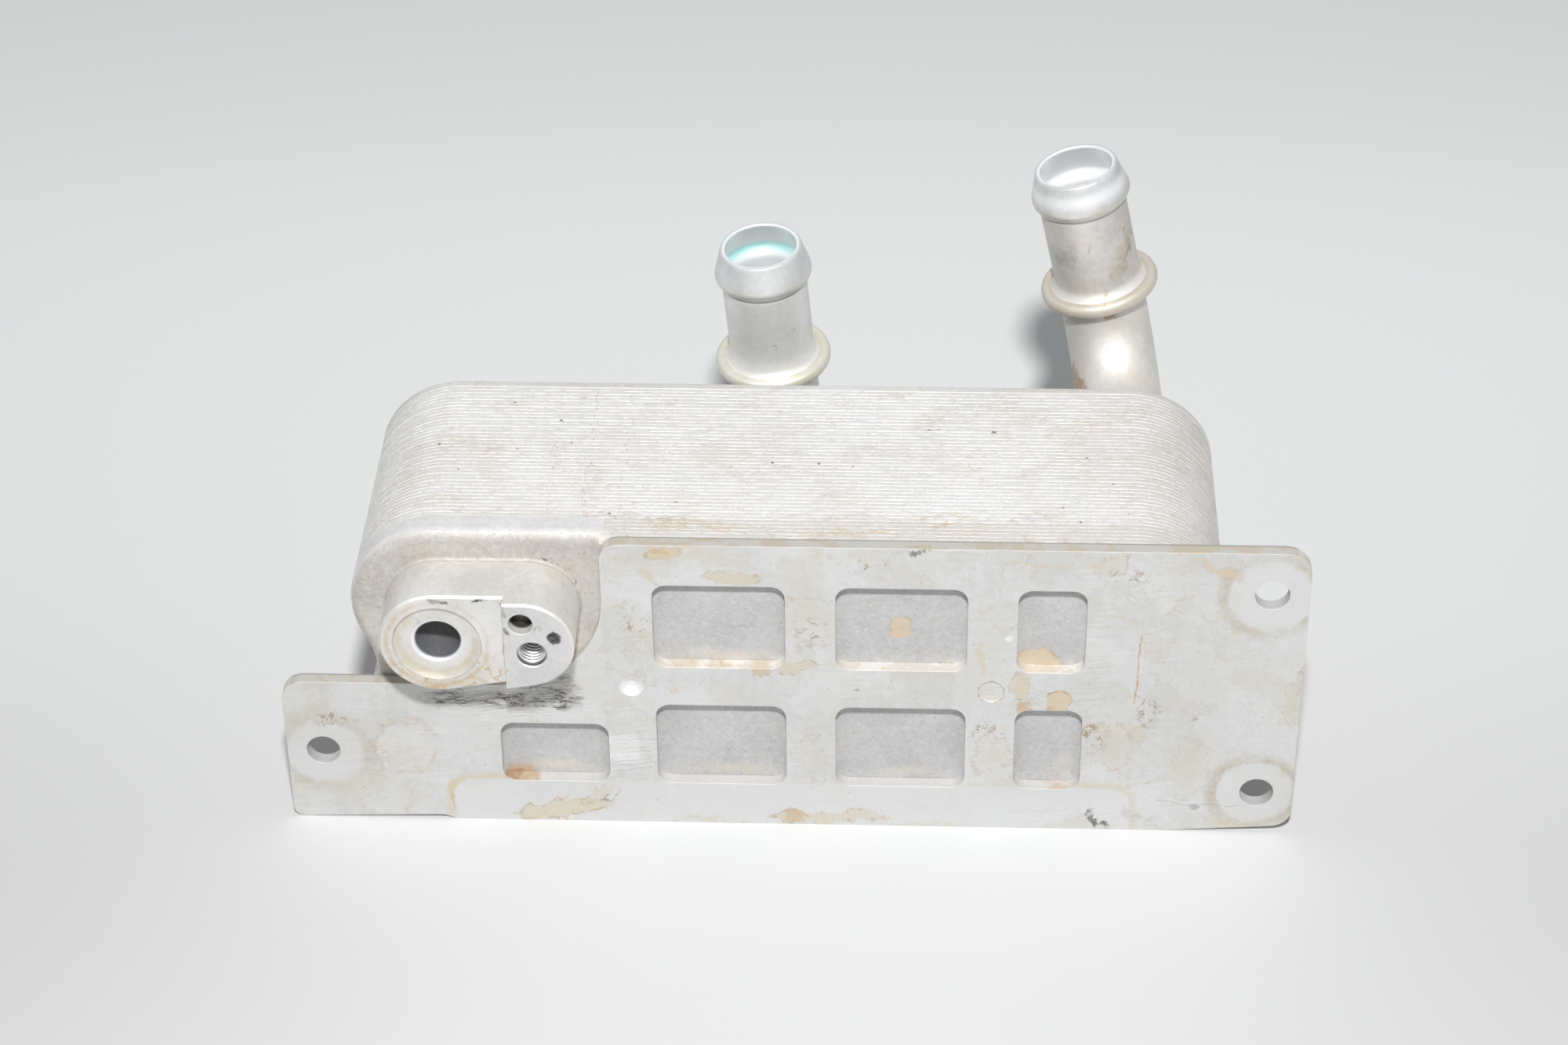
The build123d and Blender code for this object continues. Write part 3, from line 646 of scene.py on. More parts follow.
def bracketFace(tree, place, colour, hard):
    # the front face alone carries the stains, the branching marks and the grit
    look = bracketLook
    pushed = warp(tree, place, 5.0, 5.0)
    where, thick, clump = gritMasks(tree, place, pushed)
    colour = stainLayer(tree, place, colour, bracketStains, bracketLines)
    branch = useGroup(tree, tideGroup, Place=place, **look["branchTide"])
    branched = areaMask(tree, pushed, branchedAreas)
    colour = layOn(tree, colour, look["branchColour"], branch["Line"], branched, 0.95)
    colour = layOn(tree, colour, look["gritFilm"], where, 0.34)
    colour = layOn(tree, colour, look["gritStreak"], where, ramp(tree, hard, 0.49, 0.42), 0.5)
    return layOn(tree, colour, look["gritColour"], thick, clump, 0.92)


def bracketFlecks(tree, place, colour, grain):
    # dark flecks, thicker in some places, then pits and a painted highlight on the dimple
    look = bracketLook
    strung = vecCalc(tree, "MULTIPLY", place, (0.6, 1.0, 1.1))
    fleck = ramp(tree, noise(tree, strung, 0.9, 3.0, 0.6), 0.68, 0.72)
    where = ramp(tree, noise(tree, vecCalc(tree, "ADD", place, (5.0, 90.0, 40.0)), 24.0, 3.0), 0.5, 0.62)
    colour = layOn(tree, colour, look["fleckColour"], fleck, where, 0.8)
    colour = layOn(tree, colour, look["pitColour"], grain["Pits"], 0.5)
    dimple = ellipse(tree, place, *look["dimple"], soft=0.2)
    return layOn(tree, colour, look["dimpleHighlight"], dimple["Mask"])


def makeBracketMaterial():
    # ground, brushing, foot strip, bolt discs and scraped patch all through, then the marks of the front face
    material, tree, shader, place = newMaterial("bracketSheet")
    axis = splitAxes(tree, place)
    colour = bracketGround(tree, place)
    brush, hard, grain, area = bracketMarks(tree, place)
    colour = bracketBrushing(tree, colour, brush, hard, area)
    colour, strip, uneven = bracketStrip(tree, place, axis, colour, brush)
    colour = boltDiscs(tree, place, colour, uneven)
    colour = scrapedPatch(tree, place, colour, strip, hard)
    face = bracketFace(tree, place, colour, hard)
    colour = layOn(tree, colour, face, ramp(tree, axis[1], 0.35, 0.15))
    feed(tree, shader.inputs["Base Color"], bracketFlecks(tree, place, colour, grain))
    gloss = product(tree, brush["Mask"], bracketLook["brushedGloss"])
    feed(tree, shader.inputs["Roughness"], calc(tree, "SUBTRACT", bracketLook["rough"], gloss))
    feed(tree, shader.inputs["Metallic"], bracketLook["metallic"])
    height = calc(tree, "ADD", product(tree, brush["Height"], 0.6), product(tree, grain["Height"], 0.4))
    height = calc(tree, "ADD", height, product(tree, hard, area, 0.8))
    addBump(tree, shader, height, bracketLook["bump"])
    return material


edgeLook = {
    "sill": (0.72, 0.672, 0.6), "sillPatch": (0.8, 0.772, 0.73), "sillHigh": (0.63, 0.622, 0.612),
    "sillSpot": (0.47, 0.44, 0.4), "wall": (0.575, 0.567, 0.55), "wallSpot": (0.8, 0.795, 0.78),
    "hole": (0.56, 0.557, 0.55), "top": (0.575, 0.56, 0.52), "topPatch": (0.56, 0.5, 0.41),
    "topBackShade": (0.27, 0.26, 0.24), "rough": 0.5, "metallic": 0.3, "bump": 0.06}


def makeBracketEdgeMaterial():
    # the sheet's cut edges: cream on the sills, plain grey on the other walls, grey and tan along the top, with
    # painted shade at its back where it meets the cover
    look = edgeLook
    material, tree, shader, place = newMaterial("bracketEdge")
    axis = splitAxes(tree, place)
    up = splitAxes(tree, put(tree, "ShaderNodeNewGeometry").outputs["Normal"])[2]
    patch = useGroup(tree, tideGroup, Place=place, **bracketLook["smallTide"])["Patch"]
    fine = noise(tree, place, 0.8, 5.0, 0.75)
    sill = blendColour(tree, patch, look["sill"], look["sillPatch"])
    sill = layOn(tree, sill, look["sillHigh"], ramp(tree, axis[2], 6.0, 12.0, 0.8, 0.0))
    sill = layOn(tree, sill, look["sillSpot"], ramp(tree, fine, 0.44, 0.32, 0.0, 0.6))
    wall = blendColour(tree, ramp(tree, fine, 0.5, 0.64, 0.0, 0.7), look["wall"], look["wallSpot"])
    wall = layOn(tree, wall, sill, ramp(tree, up, 0.2, 0.6))
    for x, z, *_ in boltRings:
        wall = layOn(tree, wall, look["hole"], ramp(tree, distanceFrom(tree, place, x, z), 8.0, 7.0))
    topEdge = blendColour(tree, patch, look["top"], look["topPatch"])
    # painted shade along the back of the top edge, where it meets the cover
    topEdge = layOn(tree, topEdge, look["topBackShade"], ramp(tree, axis[1], 2.9, 3.6, 0.0, 0.8))
    armTop = product(tree, ramp(tree, axis[2], 21.6, 22.2), ramp(tree, axis[0], 44.0, 42.0))
    onTop = calc(tree, "MAXIMUM", armTop, ramp(tree, axis[2], 68.4, 69.0))
    colour = stainLayer(tree, place, blendColour(tree, onTop, wall, topEdge), sillStains)
    feed(tree, shader.inputs["Base Color"], colour)
    feed(tree, shader.inputs["Roughness"], look["rough"])
    feed(tree, shader.inputs["Metallic"], look["metallic"])
    addBump(tree, shader, fine, look["bump"])
    return material


coverLook = {
    "warm": {"Light": (0.558, 0.535, 0.502), "Dark": (0.456, 0.432, 0.4), "Warm": (0.544, 0.456, 0.363),
             "CloudSize": 16.0, "MottleSize": 2.0, "Warmth": 0.5},
    "dull": {"Light": (0.535, 0.535, 0.539), "Dark": (0.465, 0.465, 0.47), "Warm": (0.521, 0.484, 0.437),
             "CloudSize": 12.0, "MottleSize": 1.4, "Warmth": 0.35},
    "grain": {"GrainSize": 0.5, "SpeckSize": 0.66, "PitShare": 0.14},
    "fineGrain": {"GrainSize": 0.35, "SpeckSize": 0.8, "PitShare": 0.16},
    "dullDark": (0.36, 0.355, 0.35), "dullLight": (0.68, 0.68, 0.685),
    "dullSpeck": (0.84, 0.84, 0.85), "dullPit": (0.34, 0.34, 0.35),
    "gritDark": (0.3, 0.25, 0.2), "gritLight": (0.8, 0.775, 0.74),
    "gritSpeck": (0.9, 0.88, 0.845), "gritPit": (0.26, 0.2, 0.15),
    "side": (0.76, 0.75, 0.735), "sideLight": (0.85, 0.85, 0.845), "sideStreak": (0.66, 0.64, 0.61),
    "streaks": {"Squeeze": (0.08, 1.6, 0.08), "Turn": 0.0, "PatchSize": 16.0},
    # each from the face to the side
    "metallic": (0.2, 0.45), "rough": (0.56, 0.36), "bump": 0.2}


def makeCoverMaterial():
    # gritty warm flux by the block, dull sparkling metal in the windows, brighter satin round the side
    look = coverLook
    material, tree, shader, place = newMaterial("coverFlux")
    axis = splitAxes(tree, place)
    warm = useGroup(tree, cloudGroup, Place=place, **look["warm"])
    dull = useGroup(tree, cloudGroup, Place=place, **look["dull"])
    grain = useGroup(tree, grainGroup, Place=place, **look["grain"])
    fine = useGroup(tree, grainGroup, Place=place, **look["fineGrain"])
    mottle = noise(tree, place, 1.1, 5.0, 0.8)
    behind = calc(tree, "MAXIMUM", ramp(tree, axis[0], 78.0, 81.0), ramp(tree, axis[2], 20.0, 17.0))
    metal = peppered(tree, dull["Color"], mottle, look["dullDark"], look["dullLight"],
                     (0.47, 0.32, 0.55), (0.53, 0.68, 0.55))
    metal = layOn(tree, metal, look["dullSpeck"], fine["Specks"], 0.6)
    metal = layOn(tree, metal, look["dullPit"], fine["Pits"], 0.45)
    gritty = peppered(tree, warm["Color"], mottle, look["gritDark"], look["gritLight"],
                      (0.46, 0.3, 0.55), (0.56, 0.7, 0.6))
    gritty = layOn(tree, gritty, look["gritSpeck"], grain["Specks"], 0.75)
    gritty = layOn(tree, gritty, look["gritPit"], grain["Pits"], 0.7)
    face = stainLayer(tree, place, blendColour(tree, behind, gritty, metal), coverStainsAndBounce)
    streaks = useGroup(tree, brushGroup, Place=place, **look["streaks"])
    side = blendColour(tree, warm["Mask"], look["side"], look["sideLight"])
    side = layOn(tree, side, look["sideStreak"], streaks["Mask"], 0.4)
    onSide = ramp(tree, axis[1], 4.3, 6.2)
    feed(tree, shader.inputs["Base Color"], blendColour(tree, onSide, face, side))
    feed(tree, shader.inputs["Metallic"], ramp(tree, onSide, 0.0, 1.0, *look["metallic"]))
    feed(tree, shader.inputs["Roughness"], ramp(tree, onSide, 0.0, 1.0, *look["rough"]))
    addBump(tree, shader, grain["Height"], look["bump"])
    return material


plateLook = {
    "cloud": {"Light": (0.865, 0.855, 0.84), "Dark": (0.79, 0.774, 0.753), "Warm": (0.737, 0.66, 0.563),
              "CloudSize": 26.0, "MottleSize": 1.3, "Warmth": 0.4},
    "endDark": (0.66, 0.616, 0.572), "endLight": (0.737, 0.703, 0.669), "shade": (0.6636, 0.65016, 0.63252),
    "grain": {"GrainSize": 0.32, "SpeckSize": 0.6, "PitShare": 0.08},
    "speck": (0.902, 0.902, 0.892), "pit": (0.407, 0.339, 0.281),
    "mottleDark": (0.5, 0.46, 0.41), "mottleLight": (0.93, 0.925, 0.915),
    "frontDirt": (0.6, 0.55, 0.48), "crumb": (0.57, 0.48, 0.375), "joint": (0.44, 0.39, 0.34),
    # place along x of each column of joints, and its amount
    "joints": [(62.0, 0.4), (71.4, 0.5), (80.9, 0.4)], "jointStagger": 2.0,
    "startY": 11.8, "pitch": 1.6, "metallic": 0.2, "rough": 0.55, "bump": 0.2}


def plateChances(tree, along):
    # two random numbers for each plate, and a shift that gives each its own streaks
    number = calc(tree, "FLOOR", calc(tree, "DIVIDE", calc(tree, "SUBTRACT", along, plateLook["startY"]),
                                      plateLook["pitch"]))
    chance = put(tree, "ShaderNodeTexWhiteNoise", {"W": number}, noise_dimensions="1D").outputs["Color"]
    return number, put(tree, "ShaderNodeSeparateColor", {"Color": chance}).outputs


def jointColumns(tree, place, across, chance):
    # staggered joints that run back over the plates in columns: how near, and broken into dots
    joints = None
    dotted = ramp(tree, noise(tree, place, 0.9, 3.0), 0.45, 0.58)
    stagger = plateLook["jointStagger"]
    for column, amount in plateLook["joints"]:
        at = calc(tree, "ADD", column - stagger / 2, product(tree, chance, stagger))
        near = ramp(tree, offFrom(tree, across, at), 0.35, 0.1, 0.0, amount)
        joints = near if joints is None else calc(tree, "MAXIMUM", joints, near)
    return joints, dotted


def makePlateMaterial():
    # near-white flux that differs from plate to plate, streaked along each, with pits, crumbs and dirt
    look = plateLook
    material, tree, shader, place = newMaterial("plateSkirt")
    axis = splitAxes(tree, place)
    number, chances = plateChances(tree, axis[1])
    cloud = useGroup(tree, cloudGroup, Place=place, **look["cloud"])
    # the round right end is duller and warmer than the rest
    dull = blendColour(tree, cloud["Mask"], look["endDark"], look["endLight"])
    colour = layOn(tree, cloud["Color"], dull, ramp(tree, axis[0], 196.0, 236.0, 0.0, 0.75))
    shift = put(tree, "ShaderNodeCombineXYZ", {"Y": product(tree, number, 7.3)}).outputs[0]
    streaked = vecCalc(tree, "ADD", vecCalc(tree, "MULTIPLY", place, (0.1, 0.0, 0.1)), shift)
    streak = noise(tree, streaked, 1.0, 6.0, 0.75)
    shade = calc(tree, "ADD", product(tree, chances[0], 0.3), ramp(tree, streak, 0.35, 0.65, 0.0, 0.7))
    colour = layOn(tree, colour, look["shade"], ramp(tree, shade, 0.2, 0.9, 0.3, 0.0))
    squeezed = vecCalc(tree, "MULTIPLY", place, (0.5, 1.0, 0.5))
    grain = useGroup(tree, grainGroup, Place=squeezed, **look["grain"])
    colour = layOn(tree, colour, look["speck"], grain["Specks"], 0.5)
    colour = layOn(tree, colour, look["pit"], grain["Pits"], 0.55)
    speckle = noise(tree, place, 0.75, 4.0, 0.8)
    colour = peppered(tree, colour, speckle, look["mottleDark"], look["mottleLight"],
                      (0.46, 0.33, 0.5), (0.55, 0.68, 0.5))
    colour = layOn(tree, colour, look["frontDirt"], ramp(tree, axis[1], 12.6, 11.0, 0.0, 0.35))
    crumb = ramp(tree, noise(tree, squeezed, 0.9, 4.0, 0.65), 0.52, 0.6)
    cluster = ramp(tree, noise(tree, place, 10.0, 4.0, 0.6), 0.52, 0.66)
    colour = layOn(tree, colour, look["crumb"], crumb, cluster, 0.5)
    joints, dotted = jointColumns(tree, place, axis[0], chances[1])
    onTop = ramp(tree, axis[2], 60.0, 66.0)
    flat = put(tree, "ShaderNodeCombineXYZ", {"X": axis[0], "Y": axis[2], "Z": axis[1]}).outputs[0]
    top = layOn(tree, colour, look["joint"], joints, dotted)
    stained = stainLayer(tree, flat, top, coreTopStains, coreTopLines)
    # the dirt lies in crumbs, so only part of each stain is laid on
    top = layOn(tree, top, stained, ramp(tree, noise(tree, squeezed, 1.1, 5.0, 0.7), 0.44, 0.56, 0.12, 1.0))
    for x, back, along, deep, stain in coreTopSpecks:
        top = layOn(tree, top, stain, ellipse(tree, flat, x, back, along, deep, soft=0.4)["Mask"], 0.85)
    feed(tree, shader.inputs["Base Color"], blendColour(tree, onTop, colour, top))
    feed(tree, shader.inputs["Metallic"], look["metallic"])
    feed(tree, shader.inputs["Roughness"], look["rough"])
    addBump(tree, shader, grain["Height"], look["bump"])
    return material


# on the back plate: dried patches, crusts round the two tubes and the block, marks along the edges
backStains = [
    (34.1, 0.8, 16.5, 16.5, 0, 0.75, 0.7, 0.6, (0.86, 0.84, 0.8), 0.0),
    (215.5, 45.8, 16.5, 16.5, 0, 0.75, 0.7, 0.6, (0.86, 0.84, 0.8), 0.0),
    (206.0, 1.5, 30.0, 18.0, 0, 0.8, 0.6, 0.5, (0.8, 0.77, 0.71), 0.0),
    (34.1, -16.0, 7.0, 5.0, 0, 0.9, 0.7, 0.6, tan, 0.1),
    (118.0, 60.0, 30.0, 5.0, 3, 0.95, 0.7, 0.6, paleTan, 0.12),
    (86.0, 20.0, 18.0, 13.0, -20, 1.0, 0.8, 0.5, paleTan, 0.1),
    (150.0, 26.0, 20.0, 9.0, 12, 1.0, 0.8, 0.5, cream, 0.1),
    (122.0, -17.0, 44.0, 4.0, 2, 0.9, 0.5, 0.7, olive, 0.15),
    (60.0, 63.0, 14.0, 3.0, 0, 0.9, 0.6, 0.6, olive, 0.1),
    (222.0, 26.0, 4.0, 8.0, 10, 0.9, 0.6, 0.5, orange, 0.0),
    (24.0, 44.0, 7.0, 14.0, 0, 1.0, 0.8, 0.6, paleTan, 0.1),
    (104.0, 6.0, 2.6, 0.8, 30, 0.5, 0.4, 0.7, slate, 0.0),
    (141.0, 47.0, 1.6, 0.6, -20, 0.5, 0.4, 0.8, soot, 0.0),
    (72.0, -8.0, 1.2, 0.8, 0, 0.5, 0.4, 0.8, brown, 0.0),
]
backLook = {
    "cloud": {"Light": (0.77, 0.765, 0.75), "Dark": (0.66, 0.65, 0.63), "Warm": (0.74, 0.67, 0.56),
              "CloudSize": 28.0, "MottleSize": 2.4, "Warmth": 0.45},
    "tide": {"Size": 24.0, "Width": 0.009}, "patchAmount": 0.3, "edgeAmount": 0.4,
    "brush": {"Squeeze": (0.05, 1.0, 1.8), "Turn": -0.05, "PatchSize": 30.0},
    "grain": {"GrainSize": 0.5, "SpeckSize": 1.1, "PitShare": 0.06},
    "brushLight": (0.84, 0.84, 0.83), "mottleDark": (0.46, 0.42, 0.37), "mottleLight": (0.88, 0.87, 0.85),
    # roughness from the open metal to the dried patches
    "pit": (0.4, 0.33, 0.27), "metallic": 0.3, "rough": (0.54, 0.44), "bump": 0.12}


def makeBackMaterial():
    # the same flux as the plates but duller, with dried patches, brushed lines and placed stains
    look = backLook
    material, tree, shader, place = newMaterial("backPlate")
    cloud = useGroup(tree, cloudGroup, Place=place, **look["cloud"])
    tide = useGroup(tree, tideGroup, Place=place, **look["tide"])
    brush = useGroup(tree, brushGroup, Place=place, **look["brush"])
    grain = useGroup(tree, grainGroup, Place=place, **look["grain"])
    colour = layOn(tree, cloud["Color"], clean, tide["Patch"], look["patchAmount"])
    colour = layOn(tree, colour, tan, tide["Line"], look["edgeAmount"])
    colour = layOn(tree, colour, look["brushLight"], brush["Mask"], 0.35)
    colour = peppered(tree, colour, noise(tree, place, 0.9, 5.0, 0.8), look["mottleDark"], look["mottleLight"],
                      (0.46, 0.32, 0.5), (0.55, 0.68, 0.5))
    colour = stainLayer(tree, place, colour, backStains)
    colour = layOn(tree, colour, look["pit"], grain["Pits"], 0.5)
    feed(tree, shader.inputs["Base Color"], colour)
    feed(tree, shader.inputs["Metallic"], look["metallic"])
    feed(tree, shader.inputs["Roughness"], ramp(tree, tide["Patch"], 0.0, 1.0, *look["rough"]))
    addBump(tree, shader, grain["Height"], look["bump"])
    return material


blockLook = {
    "cloud": {"Light": (0.80, 0.79, 0.765), "Dark": (0.66, 0.645, 0.605), "Warm": (0.73, 0.67, 0.57),
              "CloudSize": 14.0, "MottleSize": 1.8, "Warmth": 0.5},
    "grain": {"GrainSize": 0.4, "SpeckSize": 1.3, "PitShare": 0.04}, "pit": (0.3, 0.27, 0.23),
    "warmDark": (0.655, 0.64, 0.6), "warmLight": (0.75, 0.74, 0.715),
    "coolDark": (0.585, 0.585, 0.58), "coolLight": (0.665, 0.665, 0.655),
    # x and z of the port, the clamp thread and the dowel hole
    "port": (35.0, 46.0), "bolt": (59.9, 45.4), "dowel": (57.4, 55.1),
    "mouth": (0.93, 0.94, 0.95), "boreShadeDark": (0.34, 0.35, 0.37), "boreShadeLight": (0.52, 0.53, 0.55),
    "threadRootShade": (0.22, 0.22, 0.225), "threadCrestHighlight": (0.95, 0.95, 0.95), "dowelShadeAndStain": (0.085, 0.07, 0.058),
    # roughness of sides, face and mouth, and metallic of the body and the bright parts
    "rough": (0.46, 0.38, 0.3), "metallic": (0.4, 0.75), "ringPitch": 2.2, "bump": 0.09}


def blockFace(tree, place, axis, cloud):
    # machined face: cool to the right of the step, with stains and a painted shadow line that the pad casts
    # beside its step
    look = blockLook
    warmBare = blendColour(tree, cloud["Mask"], look["warmDark"], look["warmLight"])
    coolBare = blendColour(tree, cloud["Mask"], look["coolDark"], look["coolLight"])
    bare = blendColour(tree, ramp(tree, axis[0], 52.6, 53.0), warmBare, coolBare)
    return stainLayer(tree, place, bare, blockStainsAndStepShade)


def recessMarks(tree, place, axis, face, distance):
    # broken rings round the seal recess, strongest low and left, and thin orange scribbles at its foot
    low = calc(tree, "MAXIMUM", ramp(tree, axis[2], 54.0, 40.0, 0.35, 1.0), ramp(tree, axis[0], 33.0, 26.0))
    patchy = ramp(tree, noise(tree, place, 3.0, 4.0, 0.6), 0.36, 0.56, 0.2, 1.0)
    for radius, width, amount, stain in blockRings:
        ring = ramp(tree, offFrom(tree, distance, radius), width, width * 0.2)
        face = layOn(tree, face, stain, ring, amount, low, patchy)
    scribble = useGroup(tree, tideGroup, Place=place, Size=3.4, Width=0.035)
    return layOn(tree, face, orange, ramp(tree, scribble["Line"], 0.0, 0.5), ramp(tree, axis[2], 42.0, 37.0),
                 ramp(tree, axis[0], 54.0, 49.0), ramp(tree, distance, 11.0, 12.0))


def makeBlockMaterial():
    # beige oxide on the sides, cool machined faces with turned rings, stains and nicks, painted shade in the
    # bore, the dowel hole and the thread roots, and painted highlights on the bore's chamfer and the thread
    # crests
    look = blockLook
    material, tree, shader, place = newMaterial("portBlock")
    axis = splitAxes(tree, place)
    cloud = useGroup(tree, cloudGroup, Place=place, **look["cloud"])
    grain = useGroup(tree, grainGroup, Place=place, **look["grain"])
    normal = put(tree, "ShaderNodeNewGeometry").outputs["Normal"]
    machined = ramp(tree, calc(tree, "ABSOLUTE", splitAxes(tree, normal)[1]), 0.9, 0.99)
    face = blockFace(tree, place, axis, cloud)
    distance = distanceFrom(tree, place, *look["port"])
    face = recessMarks(tree, place, axis, face, distance)
    colour = blendColour(tree, machined, cloud["Color"], face)
    # painted highlight: the chamfer round the bore's mouth is made near white
    mouth = product(tree, ramp(tree, distance, 7.35, 7.25), ramp(tree, axis[1], -11.26, -11.14))
    colour = layOn(tree, colour, look["mouth"], mouth)
    # painted shade: the inside of the bore is made dark, speckled by fine noise
    bore = product(tree, ramp(tree, distance, 5.93, 5.88), ramp(tree, axis[1], -10.8, -10.4))
    shadedBore = blendColour(tree, ramp(tree, grain["Fine"], 0.4, 0.6), look["boreShadeDark"], look["boreShadeLight"])
    colour = layOn(tree, colour, shadedBore, bore, 0.9)
    # painted highlight on the thread crests and painted shade in the roots between them
    fromBolt = distanceFrom(tree, place, *look["bolt"])
    turned = blendColour(tree, ramp(tree, fromBolt, 3.8, 3.5), look["threadRootShade"], look["threadCrestHighlight"])
    # painted shade with brown stain makes the deep part of the dowel hole near black
    fromDowel = distanceFrom(tree, place, *look["dowel"])
    inDowel = product(tree, ramp(tree, fromDowel, 3.3, 3.2), ramp(tree, axis[1], -13.4, -12.4))
    colour = layOn(tree, colour, look["dowelShadeAndStain"], inDowel)
    inBolt = product(tree, ramp(tree, fromBolt, 4.2, 4.05), ramp(tree, axis[1], -15.4, -15.0))
    colour = layOn(tree, colour, turned, inBolt)
    colour = layOn(tree, colour, look["pit"], grain["Pits"], 0.45)
    feed(tree, shader.inputs["Base Color"], colour)
    side, flat, bright = look["rough"]
    rough = ramp(tree, machined, 0.0, 1.0, side, flat)
    feed(tree, shader.inputs["Roughness"], ramp(tree, mouth, 0.0, 1.0, rough, bright))
    shiny = calc(tree, "MAXIMUM", inBolt, mouth)
    feed(tree, shader.inputs["Metallic"], ramp(tree, shiny, 0.0, 1.0, *look["metallic"]))
    turning = put(tree, "ShaderNodeCombineXYZ", {"X": product(tree, distance, look["ringPitch"])}).outputs[0]
    rings = product(tree, noise(tree, turning, 1.0, 3.0), machined, 0.25)
    addBump(tree, shader, calc(tree, "ADD", grain["Height"], rings), look["bump"])
    return material


tubeLook = {
    "cloud": {"Light": (0.72, 0.704, 0.675), "Dark": (0.6, 0.582, 0.548), "Warm": (0.67, 0.607, 0.51),
              "CloudSize": 15.0, "MottleSize": 1.8, "Warmth": 0.5},
    "grain": {"GrainSize": 0.4, "SpeckSize": 1.5, "PitShare": 0.035}, "pit": (0.36, 0.32, 0.26),
    "outletDark": (0.83, 0.83, 0.825), "outletLight": (0.91, 0.91, 0.905),
    "beadDark": (0.64, 0.654, 0.668), "beadLight": (0.77, 0.782, 0.793), "beadHighlight": (0.97, 0.975, 0.98),
    "lower": (0.8, 0.77, 0.72), "flareHighlight": (0.82, 0.81, 0.785), "groove": (0.45, 0.37, 0.27),
    "inletFlange": (0.67, 0.612, 0.51), "outletFlange": (0.76, 0.735, 0.61), "foot": (0.30, 0.28, 0.26),
    "bore": (0.95, 0.965, 0.975), "teal": (0.50, 0.86, 0.84), "bump": 0.05}


def tubeEnd(tree, colour, cloud, run, radius, outside, outlet):
    # the bead's bluer metal with a painted highlight round its crown, the duller lower run, and a painted
    # highlight on the flare over the flange
    look = tubeLook
    bead = blendColour(tree, cloud["Mask"], look["beadDark"], look["beadLight"])
    colour = layOn(tree, colour, bead, ramp(tree, run, 11.4, 10.6, 0.0, 0.85))
    # painted highlight: a lighter band round the bead's crown, strong on the inlet and faint on the outlet
    colour = layOn(tree, colour, look["beadHighlight"], ramp(tree, run, 1.6, 4.2), ramp(tree, run, 7.2, 4.6), outside,
                   ramp(tree, outlet, 0.0, 1.0, 0.7, 0.1))
    lower = ramp(tree, run, 40.5, 45.0)
    colour = layOn(tree, colour, look["lower"], lower, 0.3)
    # painted highlight on the flare just above the flange
    colour = layOn(tree, colour, look["flareHighlight"], ramp(tree, run, 33.8, 35.4), ramp(tree, radius, 13.6, 13.4),
                   outside, ramp(tree, run, 37.6, 37.2), 0.7)
    return colour, lower


def tubeFlange(tree, place, colour, run, radius, outlet):
    # cream on the flange in broken patches, and a dark groove inside its rim
    look = tubeLook
    wavy = calc(tree, "SUBTRACT", noise(tree, place, 2.5, 5.0, 0.65), 0.5)
    rim = ramp(tree, calc(tree, "ADD", radius, product(tree, wavy, 0.9)), 13.3, 14.0)
    broken = ramp(tree, noise(tree, place, 5.0, 5.0, 0.65), 0.34, 0.58, 0.45, 1.0)
    creamy = blendColour(tree, outlet, look["inletFlange"], look["outletFlange"])
    colour = layOn(tree, colour, creamy, rim, broken)
    return layOn(tree, colour, look["groove"], ramp(tree, offFrom(tree, radius, 13.56), 0.22, 0.06),
                 ramp(tree, run, 36.6, 36.9), ramp(tree, run, 38.0, 37.6), broken, 0.6)


def makeTubeMaterial():
    # satin grey metal; tubeRun is the distance back from the mouth, tubeInside is 1 on the bore
    look = tubeLook
    material, tree, shader, place = newMaterial("spigotTube")
    run, inside, radius = (put(tree, "ShaderNodeAttribute", attribute_name=label).outputs["Fac"]
                           for label in ("tubeRun", "tubeInside", "tubeRadius"))
    outside = calc(tree, "SUBTRACT", 1.0, inside)
    axis = splitAxes(tree, place)
    outlet = ramp(tree, axis[0], 170.0, 160.0)
    cloud = useGroup(tree, cloudGroup, Place=place, **look["cloud"])
    grain = useGroup(tree, grainGroup, Place=place, **look["grain"])
    grey = blendColour(tree, cloud["Mask"], look["outletDark"], look["outletLight"])
    colour = layOn(tree, cloud["Color"], grey, outlet, 0.8)
    colour, lower = tubeEnd(tree, colour, cloud, run, radius, outside, outlet)
    colour = tubeFlange(tree, place, colour, run, radius, outlet)
    # painted shade as a dark line under the bead, stains on the upper end, pale metal and a teal band in the
    # bore
    colour = layOn(tree, colour, look["foot"], ramp(tree, offFrom(tree, run, 11.2), 0.4, 0.1), outside, 0.7)
    front = ramp(tree, axis[1], 117.0, 114.0)
    colour = layOn(tree, colour, stainLayer(tree, place, colour, tubeStains), front)
    colour = layOn(tree, colour, look["bore"], inside, ramp(tree, run, 26.0, 22.0), 0.9)
    colour = layOn(tree, colour, look["teal"], inside, outlet, ramp(tree, run, 6.2, 8.0),
                   ramp(tree, run, 10.4, 9.0), 0.85)
    colour = layOn(tree, colour, look["pit"], grain["Pits"], 0.4)
    feed(tree, shader.inputs["Base Color"], colour)
    metal = calc(tree, "ADD", ramp(tree, inside, 0.0, 1.0, 0.55, 0.35), product(tree, lower, 0.12))
    feed(tree, shader.inputs["Metallic"], metal)
    rough = ramp(tree, run, 11.4, 10.6, 0.47, 0.34)
    feed(tree, shader.inputs["Roughness"], calc(tree, "MAXIMUM", rough, product(tree, lower, 0.63)))
    addBump(tree, shader, grain["Height"], look["bump"])
    return material


